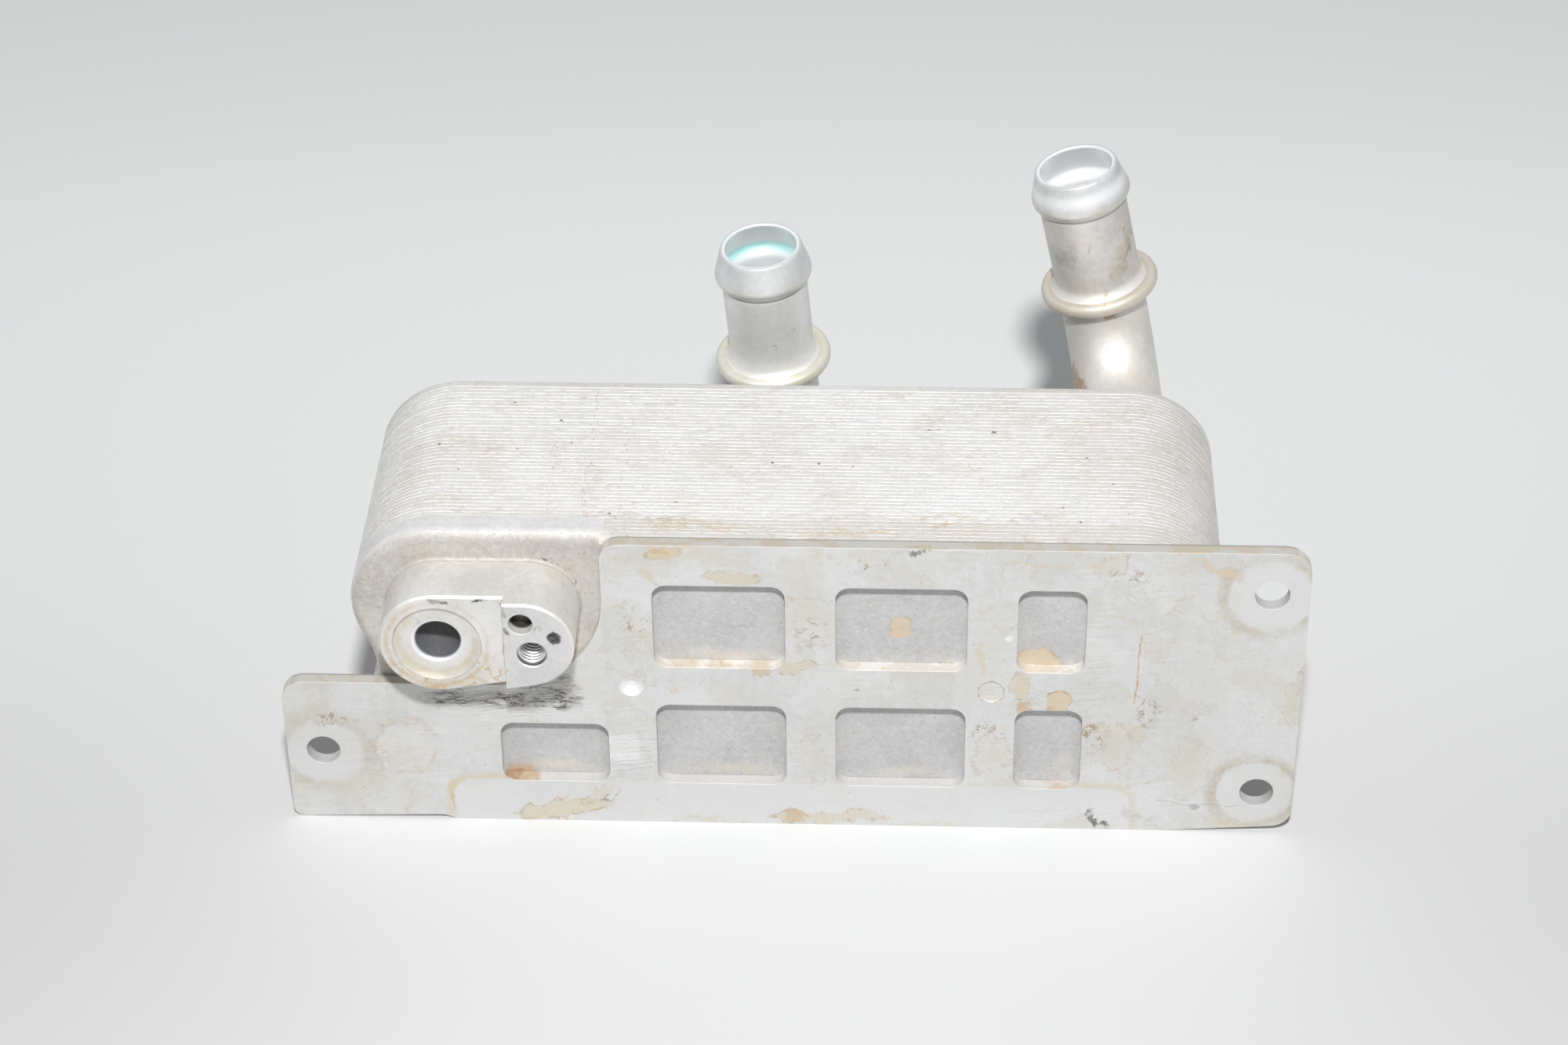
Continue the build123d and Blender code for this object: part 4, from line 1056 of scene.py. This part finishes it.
materials = {
    "mounting_bracket": makeBracketMaterial(),
    "bracketEdge": makeBracketEdgeMaterial(),
    "front_end_plate": makeCoverMaterial(),
    "core_plate": makePlateMaterial(),
    "back_end_plate": makeBackMaterial(),
    "refrigerant": makeBlockMaterial(),
    "coolant": makeTubeMaterial(),
}
for nodeName, piece in nodes.items():
    for start, material in materials.items():
        if nodeName.startswith(start):
            piece.data.materials.clear()
            piece.data.materials.append(material)
print("materials given to", len(nodes), "nodes")


# mesh building

def addPiece(name, points, faces, material, slot, smoothAngle=35.0, **values):
    # values are numbers kept with each point for the material to read
    mesh = bpy.data.meshes.new(name)
    mesh.from_pydata([tuple(row) for row in np.asarray(points) * mm], [], faces)
    mesh.validate()
    for label, numbers in values.items():
        mesh.attributes.new(label, "FLOAT", "POINT").data.foreach_set("value", numbers)
    mesh.shade_smooth()
    mesh.set_sharp_from_angle(angle=math.radians(smoothAngle))
    mesh.materials.append(material)
    piece = bpy.data.objects.new(name, mesh)
    bpy.context.scene.collection.objects.link(piece)
    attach(piece, "root")
    return piece


def ringFaces(rows, columns, closeRows):
    # quads of a grid whose columns always close on themselves, and whose rows may
    row = np.arange(rows if closeRows else rows - 1)[:, None]
    column = np.arange(columns)[None, :]
    nextRow, nextColumn = (row + 1) % rows, (column + 1) % columns
    quads = np.stack([row * columns + column, nextRow * columns + column,
                      nextRow * columns + nextColumn, row * columns + nextColumn], axis=-1)
    return quads.reshape(-1, 4).tolist()


def outward(points, faces):
    # turns every face round if the closed mesh holds a negative volume
    quads = np.array([face for face in faces if len(face) == 4])
    a, b, c, d = (points[quads[:, k]] for k in range(4))
    volume = np.einsum("ij,ij->", a, np.cross(b, c)) + np.einsum("ij,ij->", a, np.cross(c, d))
    return faces if volume > 0 else [face[::-1] for face in faces]


def roundedProfile(points, rounds=2):
    # each pass cuts every corner of a closed polygon at a quarter and three quarters of its edges
    points = np.asarray(points, float)
    for _ in range(rounds):
        after = np.roll(points, -1, axis=0)
        points = np.stack([0.75 * points + 0.25 * after, 0.25 * points + 0.75 * after], 1).reshape(-1, 2)
    return points


def direction(lean, tilt):
    # the heading that climbs by one while it runs left by the tangent of lean and forward by that of tilt
    run = np.array([-math.tan(math.radians(lean)), -math.tan(math.radians(tilt)), 1.0])
    return run / np.linalg.norm(run)


def bentPath(corners, radius, step=1.0):
    # straight runs joined by arcs: returns points along the whole, and the distance of each from the start
    corners = [np.asarray(corner, float) for corner in corners]
    points = [corners[0]]
    for before, corner, after in zip(corners, corners[1:], corners[2:]):
        back, on = before - corner, after - corner
        back, on = back / np.linalg.norm(back), on / np.linalg.norm(on)
        half = math.acos(np.dot(back, on)) / 2
        inward = (back + on) / np.linalg.norm(back + on)
        middle = corner + inward * radius / math.sin(half)
        start, end = corner + back * radius / math.tan(half), corner + on * radius / math.tan(half)
        sweep = math.pi - 2 * half
        angle = np.linspace(0, sweep, max(8, int(radius * sweep / step)))[:, None]
        first = (start - middle) / radius
        second = (end - middle) / radius - first * math.cos(sweep)
        second = second / np.linalg.norm(second)
        points += list(middle + radius * (np.cos(angle) * first + np.sin(angle) * second))
    points = np.array(points + [corners[-1]])
    length = np.concatenate([[0], np.cumsum(np.linalg.norm(np.diff(points, axis=0), axis=1))])
    return points, length


def sweptTube(corners, radius, profile, columns=112):
    # profile rows are distance back from the mouth and radius, carried round the path's own line
    points, length = bentPath(corners, radius)
    along = length[-1] - profile[:, 0]
    centre = np.stack([np.interp(along, length, points[:, k]) for k in range(3)], axis=1)
    near, far = np.maximum(along - tubes["look"], 0), np.minimum(along + tubes["look"], length[-1])
    heading = np.stack([np.interp(far, length, points[:, k]) - np.interp(near, length, points[:, k])
                        for k in range(3)], axis=1)
    heading /= np.linalg.norm(heading, axis=1, keepdims=True)
    side = np.cross(heading, np.array(tubes["aside"]) + 0 * heading)
    side /= np.linalg.norm(side, axis=1, keepdims=True)
    up = np.cross(side, heading)
    angle = np.linspace(0, 2 * math.pi, columns, endpoint=False)[None, :, None]
    ring = np.cos(angle) * side[:, None, :] + np.sin(angle) * up[:, None, :]
    grid = centre[:, None, :] + profile[:, 1][:, None, None] * ring
    flat = grid.reshape(-1, 3)
    return flat, outward(flat, ringFaces(len(profile), columns, True))


# coolant tubes

tubes = {"axisY": 118.0, "startY": 74.1, "bend": 27.0, "outer": 12.0, "inner": 10.6,
         "inletPort": (215.5, 45.8), "inletLean": 12.0, "inletTilt": 1.0, "inletRise": 71.2,
         "outletPort": (34.1, 0.8), "outletFlange": (116.9, 51.5), "outletLean": 4.6,
         "outletTilt": 4.3, "endLength": 38.6,
         # how far to look either way for the heading, a line no run is parallel to, and the rows' spacing
         "look": 0.6, "aside": (0.62, 0.05, -0.78), "spacing": 2.0, "footRound": 0.1}

# distance back from the mouth and radius, from the lip over the bead and flange, and back inside
endOutside = [(0.0, 10.85), (0.12, 11.3), (0.5, 11.55), (2.4, 12.02), (4.4, 12.66), (6.4, 13.3), (7.6, 13.62),
              (8.3, 13.69), (8.9, 13.6), (9.6, 13.2), (10.2, 12.72), (10.7, 12.3), (10.95, 12.0),
              (11.2, 11.86), (11.6, 11.96), (12.6, 12.0), (16.0, 12.0), (22.0, 12.0), (28.0, 12.0),
              (33.4, 12.0), (34.5, 12.08), (35.3, 12.3), (36.0, 12.65), (36.6, 13.1), (37.0, 13.45),
              (36.95, 13.75), (36.6, 14.1), (36.4, 14.6), (36.45, 15.3), (36.8, 15.9), (37.5, 16.3),
              (38.4, 16.48), (39.2, 16.38), (39.9, 15.9), (40.3, 15.2), (40.4, 14.2), (40.4, 12.8),
              (40.5, 12.0)]
endInside = [(14.0, 10.6), (11.8, 10.6), (11.1, 10.7), (10.4, 11.05), (9.6, 11.6), (9.0, 12.0), (8.3, 12.28),
             (7.6, 12.24), (6.4, 11.95), (3.6, 11.05), (1.2, 10.25), (0.4, 9.98), (0.05, 10.15)]


def tubeProfile(length):
    # also tells which rows lie inside the bore
    outer, inner, spacing, edge = (tubes[key] for key in ("outer", "inner", "spacing", "footRound"))
    runs = np.arange(43.0, length, spacing)
    outside = endOutside + [(run, outer) for run in runs] + [(length - 0.01, outer), (length, outer - edge)]
    back = np.arange(length - spacing, 19.0, -spacing)
    inside = [(length, inner + edge), (length - 0.01, inner)] + [(run, inner) for run in back] + endInside
    rounded = roundedProfile(outside + inside, 1)
    rounded[:, 0] = np.clip(rounded[:, 0], 0, length)
    return rounded, np.arange(len(rounded)) >= 2 * len(outside)


def makeTube(name, corners, node):
    # the end's profile carried along straight runs and bends, back to the socket and out again inside
    length = bentPath(corners, tubes["bend"])[1][-1]
    profile, within = tubeProfile(length)
    points, faces = sweptTube(corners, tubes["bend"], profile)
    columns = len(points) // len(profile)
    piece = addPiece(name, points, faces, materials["coolant"], "coolant_tubes", 60.0,
                     tubeRun=np.repeat(profile[:, 0], columns), tubeRadius=np.repeat(profile[:, 1], columns),
                     tubeInside=np.repeat(within.astype(float), columns))
    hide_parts(node)


def makeTubes():
    # the inlet bends once, straight above its port; the outlet runs across to its place and bends twice
    x, z = tubes["inletPort"]
    up = direction(tubes["inletLean"], tubes["inletTilt"])
    corner = np.array([x, tubes["axisY"], z])
    makeTube("inletSpigot", [(x, tubes["startY"], z), corner, corner + up * tubes["inletRise"]],
             "coolant_inlet_tube")
    x, z = tubes["outletPort"]
    flangeX, flangeZ = tubes["outletFlange"]
    up = direction(tubes["outletLean"], tubes["outletTilt"])
    flange = np.array([flangeX, tubes["axisY"], flangeZ])
    turn = flange - up * (flangeZ - z) / up[2]
    corners = [(x, tubes["startY"], z), (x, turn[1], z), turn, flange + up * tubes["endLength"]]
    makeTube("outletSpigot", corners, "coolant_outlet_tube")


makeTubes()
print("coolant tubes made")


# plate stack

stack = {"left": 10.1, "length": 229.4, "foot": -23.2, "height": 93.0, "lobe": 24.0, "waist": 5.5,
         "startY": 11.8, "pitch": 1.6, "count": 38, "seed": 7,
         # depth behind each plate's front edge, and how far its skirt lies inside the outline
         "skirt": [(0.0, 0.26), (0.04, 0.1), (0.18, 0.02), (0.5, 0.0), (0.9, 0.03),
                   (1.3, 0.08), (1.52, 0.14), (1.6, 0.26)],
         # how far each skirt wavers, every second one steps in, and any one may be off its place
         "waver": 0.05, "step": 0.03, "drift": 0.05, "across": 172,
         # waves along the outline: of each skirt, and of the braze that fills the joints
         "skirtWaves": (7, 13, 23, 37, 61), "jointWaves": (29, 47, 83, 127, 181, 263),
         "jointOpen": 0.42, "jointSwing": 0.17, "leastOpen": 0.06}


def coreOutline():
    # two round lobes at each end joined by a shallow arc, with straight top and bottom
    lobe, waist = stack["lobe"], stack["waist"]
    halfX, halfZ = stack["length"] / 2, stack["height"] / 2
    lobeX, lobeZ = halfX - lobe, halfZ - lobe
    reach = (lobeZ**2 + waist**2) / (2 * waist)
    meet = math.asin(lobeZ / reach)
    arc = np.linspace(math.pi / 2, -meet, 64)
    upper = np.stack([lobeX + lobe * np.cos(arc), lobeZ + lobe * np.sin(arc)], 1)
    turn = np.linspace(meet, -meet, 40)[1:-1]
    dip = np.stack([halfX - waist + (reach - lobe) - (reach - lobe) * np.cos(turn),
                    (reach - lobe) * np.sin(turn)], 1)
    right = np.concatenate([upper, dip, upper[::-1] * (1, -1)])
    across = np.linspace(lobeX, -lobeX, stack["across"])[1:-1]
    foot = np.stack([across, np.full(len(across), -halfZ)], 1)
    outline = np.concatenate([right, foot, -right, -foot])
    along = np.roll(outline, -1, axis=0) - np.roll(outline, 1, axis=0)
    normal = np.stack([-along[:, 1], along[:, 0]], 1)
    normal /= np.linalg.norm(normal, axis=1, keepdims=True)
    if np.sum(normal * outline) < 0:
        normal = -normal
    step = np.linalg.norm(np.roll(outline, -1, axis=0) - outline, axis=1)
    centre = (stack["left"] + halfX, stack["foot"] + halfZ)
    return outline + centre, normal, (np.cumsum(step) - step) / step.sum()


def jointFill(share, rng):
    # a sum of sines tells how open a joint stays: 1 is its whole depth, and near 0 it is filled with braze
    waves = np.array(stack["jointWaves"])[:, None]
    phase = rng.uniform(0, 2 * math.pi, len(waves))
    swing = np.sum(np.sin(2 * math.pi * waves * share + phase[:, None]), 0)
    return np.clip(stack["jointOpen"] + stack["jointSwing"] * swing, stack["leastOpen"], 1)


def capped(points, rows, columns):
    # faces of a grid whose columns close, with a flat face at its first row and its last
    faces = ringFaces(rows, columns, False)
    turned = outward(points, faces)
    first, last = list(range(columns)), list(range((rows - 1) * columns, rows * columns))
    return turned + ([first, last[::-1]] if turned is faces else [first[::-1], last])


def makePlates():
    # each skirt is the outline drawn in by the profile, and a little by slow waves along it
    rng = np.random.default_rng(stack["seed"])
    outline, normal, share = coreOutline()
    skirt = np.array(stack["skirt"])
    fills = [jointFill(share, rng) for _ in range(stack["count"] + 1)]
    waves = np.array(stack["skirtWaves"])[:, None]
    for number in range(stack["count"]):
        phase, size = rng.uniform(0, 2 * math.pi, len(waves)), rng.uniform(0.2, 1.0, len(waves))
        wave = np.sum(size[:, None] * np.sin(2 * math.pi * waves * share + phase[:, None]), 0) / len(waves)
        drawnIn = stack["waver"] * (1 + wave) + stack["step"] * (number % 2) + rng.uniform(0, stack["drift"])
        fill = np.where(skirt[:, 0][:, None] < stack["pitch"] / 2, fills[number], fills[number + 1])
        inset = skirt[:, 1][:, None] * fill + drawnIn[None, :]
        flat = outline[None] - normal[None] * inset[:, :, None]
        y = stack["startY"] + number * stack["pitch"] + skirt[:, 0]
        grid = np.stack([flat[:, :, 0], y[:, None] + 0 * inset, flat[:, :, 1]], -1)
        points = grid.reshape(-1, 3)
        piece = addPiece(f"plateSkirt{number + 1:02d}", points, capped(points, *grid.shape[:2]),
                         materials["core_plate"], "core_plates", 50.0)
        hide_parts(f"core_plate_{number + 1:02d}")


rim = {"fromX": 76.0, "wholeX": 80.0, "tuck": 0.9, "frontY": 3.82, "ridges": 5, "inner": 4.4,
       "shoulder": 3.2, "coverY": 3.8, "under": 0.4, "frontInset": 0.3, "drawnIn": 0.03, "gap": 0.02,
       "waver": 0.03, "waves": (140, 46)}


def makeCoverRim():
    # behind the bracket the cover's side is ridged like the plates, rising out of its round shoulder
    outline, normal, share = coreOutline()
    first = np.argmax((outline[:, 0] > rim["fromX"]) & (np.roll(outline[:, 0], 1) <= rim["fromX"]))
    outline, normal, share = (np.roll(part, -first, axis=0) for part in (outline, normal, share))
    count = int(np.sum(outline[:, 0] > rim["fromX"]))
    outline, normal, share = outline[:count], normal[:count], share[:count]
    skirt = np.array(stack["skirt"])
    depth = np.concatenate([skirt[:, 0] + k * stack["pitch"] for k in range(rim["ridges"])])
    depth = rim["frontY"] + depth * (stack["startY"] - rim["frontY"] - rim["gap"]) / depth[-1]
    rng = np.random.default_rng(stack["seed"] + 1)
    fill = np.stack([jointFill(share, rng) for _ in range(rim["ridges"])], 1)
    inset = np.tile(skirt[:, 1], rim["ridges"]) * np.repeat(fill, len(skirt), 1) + rim["drawnIn"]
    inset[:, 0] = rim["frontInset"]
    # the shoulder's quarter circle, drawn a little under the cover's own
    left = np.maximum(rim["shoulder"] - (depth - rim["coverY"]), 0)
    shoulderInset = rim["shoulder"] - np.sqrt(np.maximum(rim["shoulder"]**2 - left**2, 0)) + rim["under"]
    grown = np.clip((outline[:, 0] - rim["fromX"]) / (rim["wholeX"] - rim["fromX"]), 0, 1)[:, None]
    quick, slow = rim["waves"]
    swing = np.sin(quick * math.pi * share) * np.sin(slow * math.pi * share + 1)
    inset = inset * grown + np.maximum(inset, shoulderInset) * (1 - grown) + rim["waver"] * (1 + swing)[:, None]
    depth = np.concatenate([depth, [depth[-1], depth[0]]])
    inset = np.concatenate([inset, np.full((count, 2), rim["inner"])], 1)
    flat = outline[:, None] - normal[:, None] * inset[:, :, None]
    grid = np.stack([flat[:, :, 0], depth[None] + 0 * inset, flat[:, :, 1]], -1)
    points = grid.reshape(-1, 3)
    addPiece("coverRim", points, capped(points, *grid.shape[:2]), materials["core_plate"], "core_plates", 50.0)


makePlates()
makeCoverRim()
print("plate skirts and the cover's rim made")


# edges softened on copies of the CAD pieces

# centre x and z, radius, depth y and width of each broken hole mouth
mouths = {"inlet": [(35.0, 46.0, 5.85, -11.3, 1.35), (57.4, 55.1, 3.1, -15.7, 0.3)],
          "outlet": [(215.5, 0.8, 4.5, 90.7, 1.0), (193.1, 9.9, 3.1, 95.1, 0.3)]}
# corners sharper than this many degrees are edges, and flatter ones than that are merged; bevel widths
edges = {"sharp": 28, "flat": 0.4, "near": 0.1, "bracket": 0.13, "cover": 0.1, "back": 0.2, "block": 0.12}


def breakMouths(work, holes):
    # bevels the ring of edges at each mouth, found by its radius and depth
    for x, z, radius, y, width in holes:
        loop = [edge for edge in work.edges if all(
            abs(math.hypot(vert.co.x / mm - x, vert.co.z / mm - z) - radius) < edges["near"]
            and abs(vert.co.y / mm - y) < edges["near"] for vert in edge.verts)]
        bmesh.ops.bevel(work, geom=loop, offset=width * mm, segments=3, profile=0.5, affect="EDGES")


def softened(node, name, material, width, change=None, holes=(), cuts=(), edge=None):
    # a merged copy of a CAD node, its mouths broken, its points moved by change, and its edges bevelled
    mesh = nodes[node].data.copy()
    mesh.name = name
    work = bmesh.new()
    work.from_mesh(mesh)
    bmesh.ops.remove_doubles(work, verts=work.verts, dist=1e-6)
    bmesh.ops.dissolve_limit(work, angle_limit=math.radians(edges["flat"]), verts=work.verts, edges=work.edges)
    breakMouths(work, holes)
    for x in cuts:
        whole = work.verts[:] + work.edges[:] + work.faces[:]
        bmesh.ops.bisect_plane(work, geom=whole, plane_co=(x * mm, 0, 0), plane_no=(1, 0, 0), dist=1e-7)
    work.to_mesh(mesh)
    work.free()
    if change:
        place = np.zeros(len(mesh.vertices) * 3)
        mesh.vertices.foreach_get("co", place)
        mesh.vertices.foreach_set("co", (change(place.reshape(-1, 3) / mm) * mm).ravel())
    mesh.shade_smooth()
    mesh.set_sharp_from_angle(angle=math.radians(edges["sharp"]))
    mesh.materials.clear()
    mesh.materials.append(material)
    if edge:
        # faces that look neither forward nor back take the second material
        mesh.materials.append(edge)
        facing = np.zeros(len(mesh.polygons) * 3)
        mesh.polygons.foreach_get("normal", facing)
        mesh.polygons.foreach_set("material_index", (np.abs(facing[1::3]) < 0.5).astype(int))
    piece = bpy.data.objects.new(name, mesh)
    bpy.context.scene.collection.objects.link(piece)
    bevel = piece.modifiers.new("edgeBreak", "BEVEL")
    bevel.width = width * mm
    bevel.segments = 2
    bevel.limit_method = "ANGLE"
    bevel.angle_limit = math.radians(edges["sharp"])
    bevel.harden_normals = True
    bevel.miter_outer = "MITER_ARC"
    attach(piece, "root")
    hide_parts(node)


def tuckIn(points):
    # draws the cover in behind the bracket, so that its ridged rim stands clear of it
    share = np.clip((points[:, 0] - rim["fromX"]) / (rim["wholeX"] - rim["fromX"]), 0, 1)
    middle, right = stack["foot"] + stack["height"] / 2, stack["left"] + stack["length"]
    points[:, 2] = middle + (points[:, 2] - middle) * (1 - share * rim["tuck"] * 2 / stack["height"])
    points[:, 0] -= share * rim["tuck"] * (points[:, 0] - rim["wholeX"]) / (right - rim["wholeX"])
    return points


threads = {"major": 3.98, "minor": 3.4, "pitch": 1.25, "reach": 12.2, "wallDepth": 13,
           "inlet": (59.9, -14.95, 45.4, 1), "outlet": (190.6, 94.35, 0.2, -1),
           # half widths of the ridge at root and crest in pitches, turn over which it fades, steps of a turn
           "rootHalf": 0.42, "crestHalf": 0.08, "fadeTurn": 1.5, "leastFade": 0.03, "steps": 48,
           # depth at which the ridge starts, room left at its end, and how far it is sunk in the wall
           "start": 0.5, "room": 0.3, "sunk": 0.04}


def openThread(where):
    # moves the plain wall of the tapped hole out to the thread's root
    x, y, z, way = threads[where]

    def change(points):
        offset = points[:, (0, 2)] - (x, z)
        distance = np.linalg.norm(offset, axis=1)
        depth = (points[:, 1] - y) * way
        wall = ((distance < threads["minor"] + 0.05) & (distance > 1.0)
                & (depth > -0.05) & (depth < threads["wallDepth"]))
        grown = np.where(wall, threads["major"] / np.maximum(distance, 1e-6), 1.0)
        points[:, 0] = x + offset[:, 0] * grown
        points[:, 2] = z + offset[:, 1] * grown
        return points
    return change


def makeThread(where):
    # a trapezoid ridge carried down a helix, fading out at both ends
    x, y, z, way = threads[where]
    pitch = threads["pitch"]
    turns = (threads["reach"] - threads["room"]) / pitch - 1
    angle = np.linspace(0, 2 * math.pi * turns, int(turns * threads["steps"]))
    fade = np.clip(np.minimum(angle, angle[-1] - angle) / threads["fadeTurn"], threads["leastFade"], 1)
    root, crest = threads["major"] + threads["sunk"], threads["minor"]
    wide, narrow = threads["rootHalf"], threads["crestHalf"]
    section = np.array([(root, -wide), (crest, -narrow), (crest, narrow), (root, wide)])
    r = root - (root - section[:, 0])[None] * fade[:, None]
    turn = angle[:, None]
    depth = threads["start"] + turn / (2 * math.pi) * pitch + section[:, 1][None] * fade[:, None] * pitch
    grid = np.stack([x + r * np.cos(turn), y + way * depth, z + r * np.sin(turn)], -1)
    points = grid.reshape(-1, 3)
    faces = outward(points, ringFaces(len(angle), 4, False))
    last = (len(angle) - 1) * 4
    ends = [[0, 1, 2, 3], [last + 3, last + 2, last + 1, last]]
    if way > 0:
        ends = [end[::-1] for end in ends]
    addPiece(f"{where}Thread", points, faces + ends, materials["refrigerant"], "port_blocks", 30.0)


softened("mounting_bracket", "bracketSheet", materials["mounting_bracket"],
         edges["bracket"], edge=materials["bracketEdge"])
softened("front_end_plate", "frontCover", materials["front_end_plate"], edges["cover"],
         tuckIn, cuts=(rim["fromX"], rim["wholeX"]))
softened("back_end_plate", "backEndPlate", materials["back_end_plate"], edges["back"])
for where in ("inlet", "outlet"):
    softened(f"refrigerant_{where}_block", f"{where}Block", materials["refrigerant"],
             edges["block"], openThread(where), mouths[where])
    makeThread(where)
print("edges softened and threads cut")


# braze fillets

fillets = {"columns": 260, "tubeColumns": 96, "blockLeg": 1.0, "tubeLeg": 1.3, "seed": 11,
           "lump": 0.25, "lumpWaves": (3, 7, 12, 21, 34), "sunk": 0.15, "curveRows": 7,
           "large": 15.3, "small": 13.3, "smallAt": (22.7, 2.1),
           "inletAt": (35.0, 46.0), "inletY": 3.8, "outletAt": (215.5, 0.8), "outletY": 75.6, "socketY": 79.6}


def filletRing(name, outlinePoints, normals, y, way, leg, material, slot, seed):
    # a hollow-faced wedge round the outline, its leg swelling and shrinking along the way
    rng = np.random.default_rng(seed)
    count = len(outlinePoints)
    share = np.linspace(0, 2 * math.pi, count, endpoint=False)
    waves = fillets["lumpWaves"]
    lump = sum(rng.uniform(0.2, 1) * np.sin(k * share + rng.uniform(0, 6.28)) for k in waves) / len(waves)
    leg = leg * (1 + fillets["lump"] * lump)[None, :, None]
    turn = np.linspace(0, math.pi / 2, fillets["curveRows"])
    out = np.concatenate([[-fillets["sunk"]], (1 - np.sin(turn))])[:, None, None]
    rise = np.concatenate([[0.0], (1 - np.cos(turn))])[:, None]
    flat = outlinePoints[None] + normals[None] * out * leg
    depth = y + way * rise * leg[:, :, 0]
    grid = np.stack([flat[:, :, 0], depth + 0 * flat[:, :, 0], flat[:, :, 1]], -1)
    points = grid.reshape(-1, 3)
    addPiece(name, points, outward(points, ringFaces(len(grid), count, True)), material, slot, 60.0)


def blockOutline(at, way):
    # for each heading, the point of the two circles that lies furthest out
    angle = np.linspace(0, 2 * math.pi, fillets["columns"], endpoint=False)
    normal = np.stack([np.cos(angle), np.sin(angle)], 1)
    small = np.array(fillets["smallAt"])
    far = fillets["small"] + normal @ small > fillets["large"]
    local = np.where(far[:, None], small + fillets["small"] * normal, fillets["large"] * normal)
    sign = np.array([way, 1])
    return local * sign + at, normal * sign


def ringOutline(at, radius):
    # a circle's points, and the headings that point out from it
    angle = np.linspace(0, 2 * math.pi, fillets["tubeColumns"], endpoint=False)
    normal = np.stack([np.cos(angle), np.sin(angle)], 1)
    return np.array(at) + radius * normal, normal


outline, normal = blockOutline(fillets["inletAt"], 1)
filletRing("inletBlockBraze", outline, normal, fillets["inletY"], -1, fillets["blockLeg"],
           materials["front_end_plate"], "front_end_plate", fillets["seed"])
outline, normal = blockOutline(fillets["outletAt"], -1)
filletRing("outletBlockBraze", outline, normal, fillets["outletY"], 1, fillets["blockLeg"],
           materials["back_end_plate"], "back_end_plate", fillets["seed"] + 1)
for name, port in (("inlet", tubes["inletPort"]), ("outlet", tubes["outletPort"])):
    outline, normal = ringOutline(port, tubes["outer"])
    filletRing(f"{name}TubeBraze", outline, normal, fillets["socketY"], 1, fillets["tubeLeg"],
               materials["back_end_plate"], "back_end_plate", fillets["seed"] + 2)
print("braze fillets made")


# stage

stage = {"floorColour": (0.69, 0.693, 0.697), "farColour": (0.985, 0.995, 1.0), "floorReach": 4.0,
         "floorZ": -23.2, "nearAndFar": (-0.09, 0.36), "middleX": 0.125, "cornerShade": 0.1,
         "keyPlace": (0.17, -0.76, 0.98), "keyAim": (0.125, 0.03, 0.02), "keySize": 0.08,
         "keyPower": 16.0, "skyColour": (0.97, 0.985, 1.0), "skyStrength": 0.26, "metalSky": 0.8,
         "floorRough": 0.8, "floorGloss": 0.2}


def makeFloor():
    # one flat square under the part's foot, its colour lighter toward the back, where less light falls
    reach = stage["floorReach"]
    corners = [(-reach, -reach), (reach, -reach), (reach, reach), (-reach, reach)]
    mesh = bpy.data.meshes.new("floor")
    mesh.from_pydata([(x, y, stage["floorZ"] * mm) for x, y in corners], [], [(0, 1, 2, 3)])
    floor = bpy.data.objects.new("floor", mesh)
    bpy.context.scene.collection.objects.link(floor)
    material, tree, shader, _ = newMaterial("paleSheet")
    axis = splitAxes(tree, put(tree, "ShaderNodeTexCoord").outputs["Object"])
    near, far = stage["nearAndFar"]
    colour = blendColour(tree, ramp(tree, axis[1], near, far), stage["floorColour"], stage["farColour"])
    # the near corners are a little darker
    colour = layOn(tree, colour, (0, 0, 0), ramp(tree, offFrom(tree, axis[0], stage["middleX"]), 0.03, 0.24),
                   ramp(tree, axis[1], 0.12, -0.05), stage["cornerShade"])
    feed(tree, shader.inputs["Base Color"], colour)
    feed(tree, shader.inputs["Roughness"], stage["floorRough"])
    feed(tree, shader.inputs["Specular IOR Level"], stage["floorGloss"])
    mesh.materials.append(material)


def aimAt(made, place, target):
    made.location = place
    made.rotation_euler = (Vector(target) - Vector(place)).to_track_quat("-Z", "Y").to_euler()


def makeLights():
    # one lamp high in front of the part, and a room that metal sees brighter than it shines
    key = bpy.data.lights.new("key", "AREA")
    key.shape = "DISK"
    key.size = stage["keySize"]
    key.energy = stage["keyPower"]
    lamp = bpy.data.objects.new("key", key)
    bpy.context.scene.collection.objects.link(lamp)
    aimAt(lamp, stage["keyPlace"], stage["keyAim"])
    world = bpy.data.worlds.new("softRoom")
    world.use_nodes = True
    tree = world.node_tree
    back = tree.nodes["Background"]
    feed(tree, back.inputs["Color"], stage["skyColour"])
    glossy = put(tree, "ShaderNodeLightPath").outputs["Is Glossy Ray"]
    feed(tree, back.inputs["Strength"], ramp(tree, glossy, 0.0, 1.0, stage["skyStrength"], stage["metalSky"]))
    bpy.context.scene.world = world


# place in metres, turn in degrees, lens and sensor in millimetres
camera = {"place": (0.15959, -0.76548, 0.62550), "turn": (54.4194, 0.5740, 2.1982), "lens": 84.64,
          "sensor": 36.0}


def makeCamera():
    data = bpy.data.cameras.new("photoCamera")
    data.lens = camera["lens"]
    data.sensor_width = camera["sensor"]
    data.clip_start = 0.05
    made = bpy.data.objects.new("photoCamera", data)
    bpy.context.scene.collection.objects.link(made)
    made.location = camera["place"]
    made.rotation_euler = [math.radians(angle) for angle in camera["turn"]]
    bpy.context.scene.camera = made


makeFloor()
makeLights()
makeCamera()
bpy.context.scene.view_settings.view_transform = "Standard"
print("stage, lights and camera set")
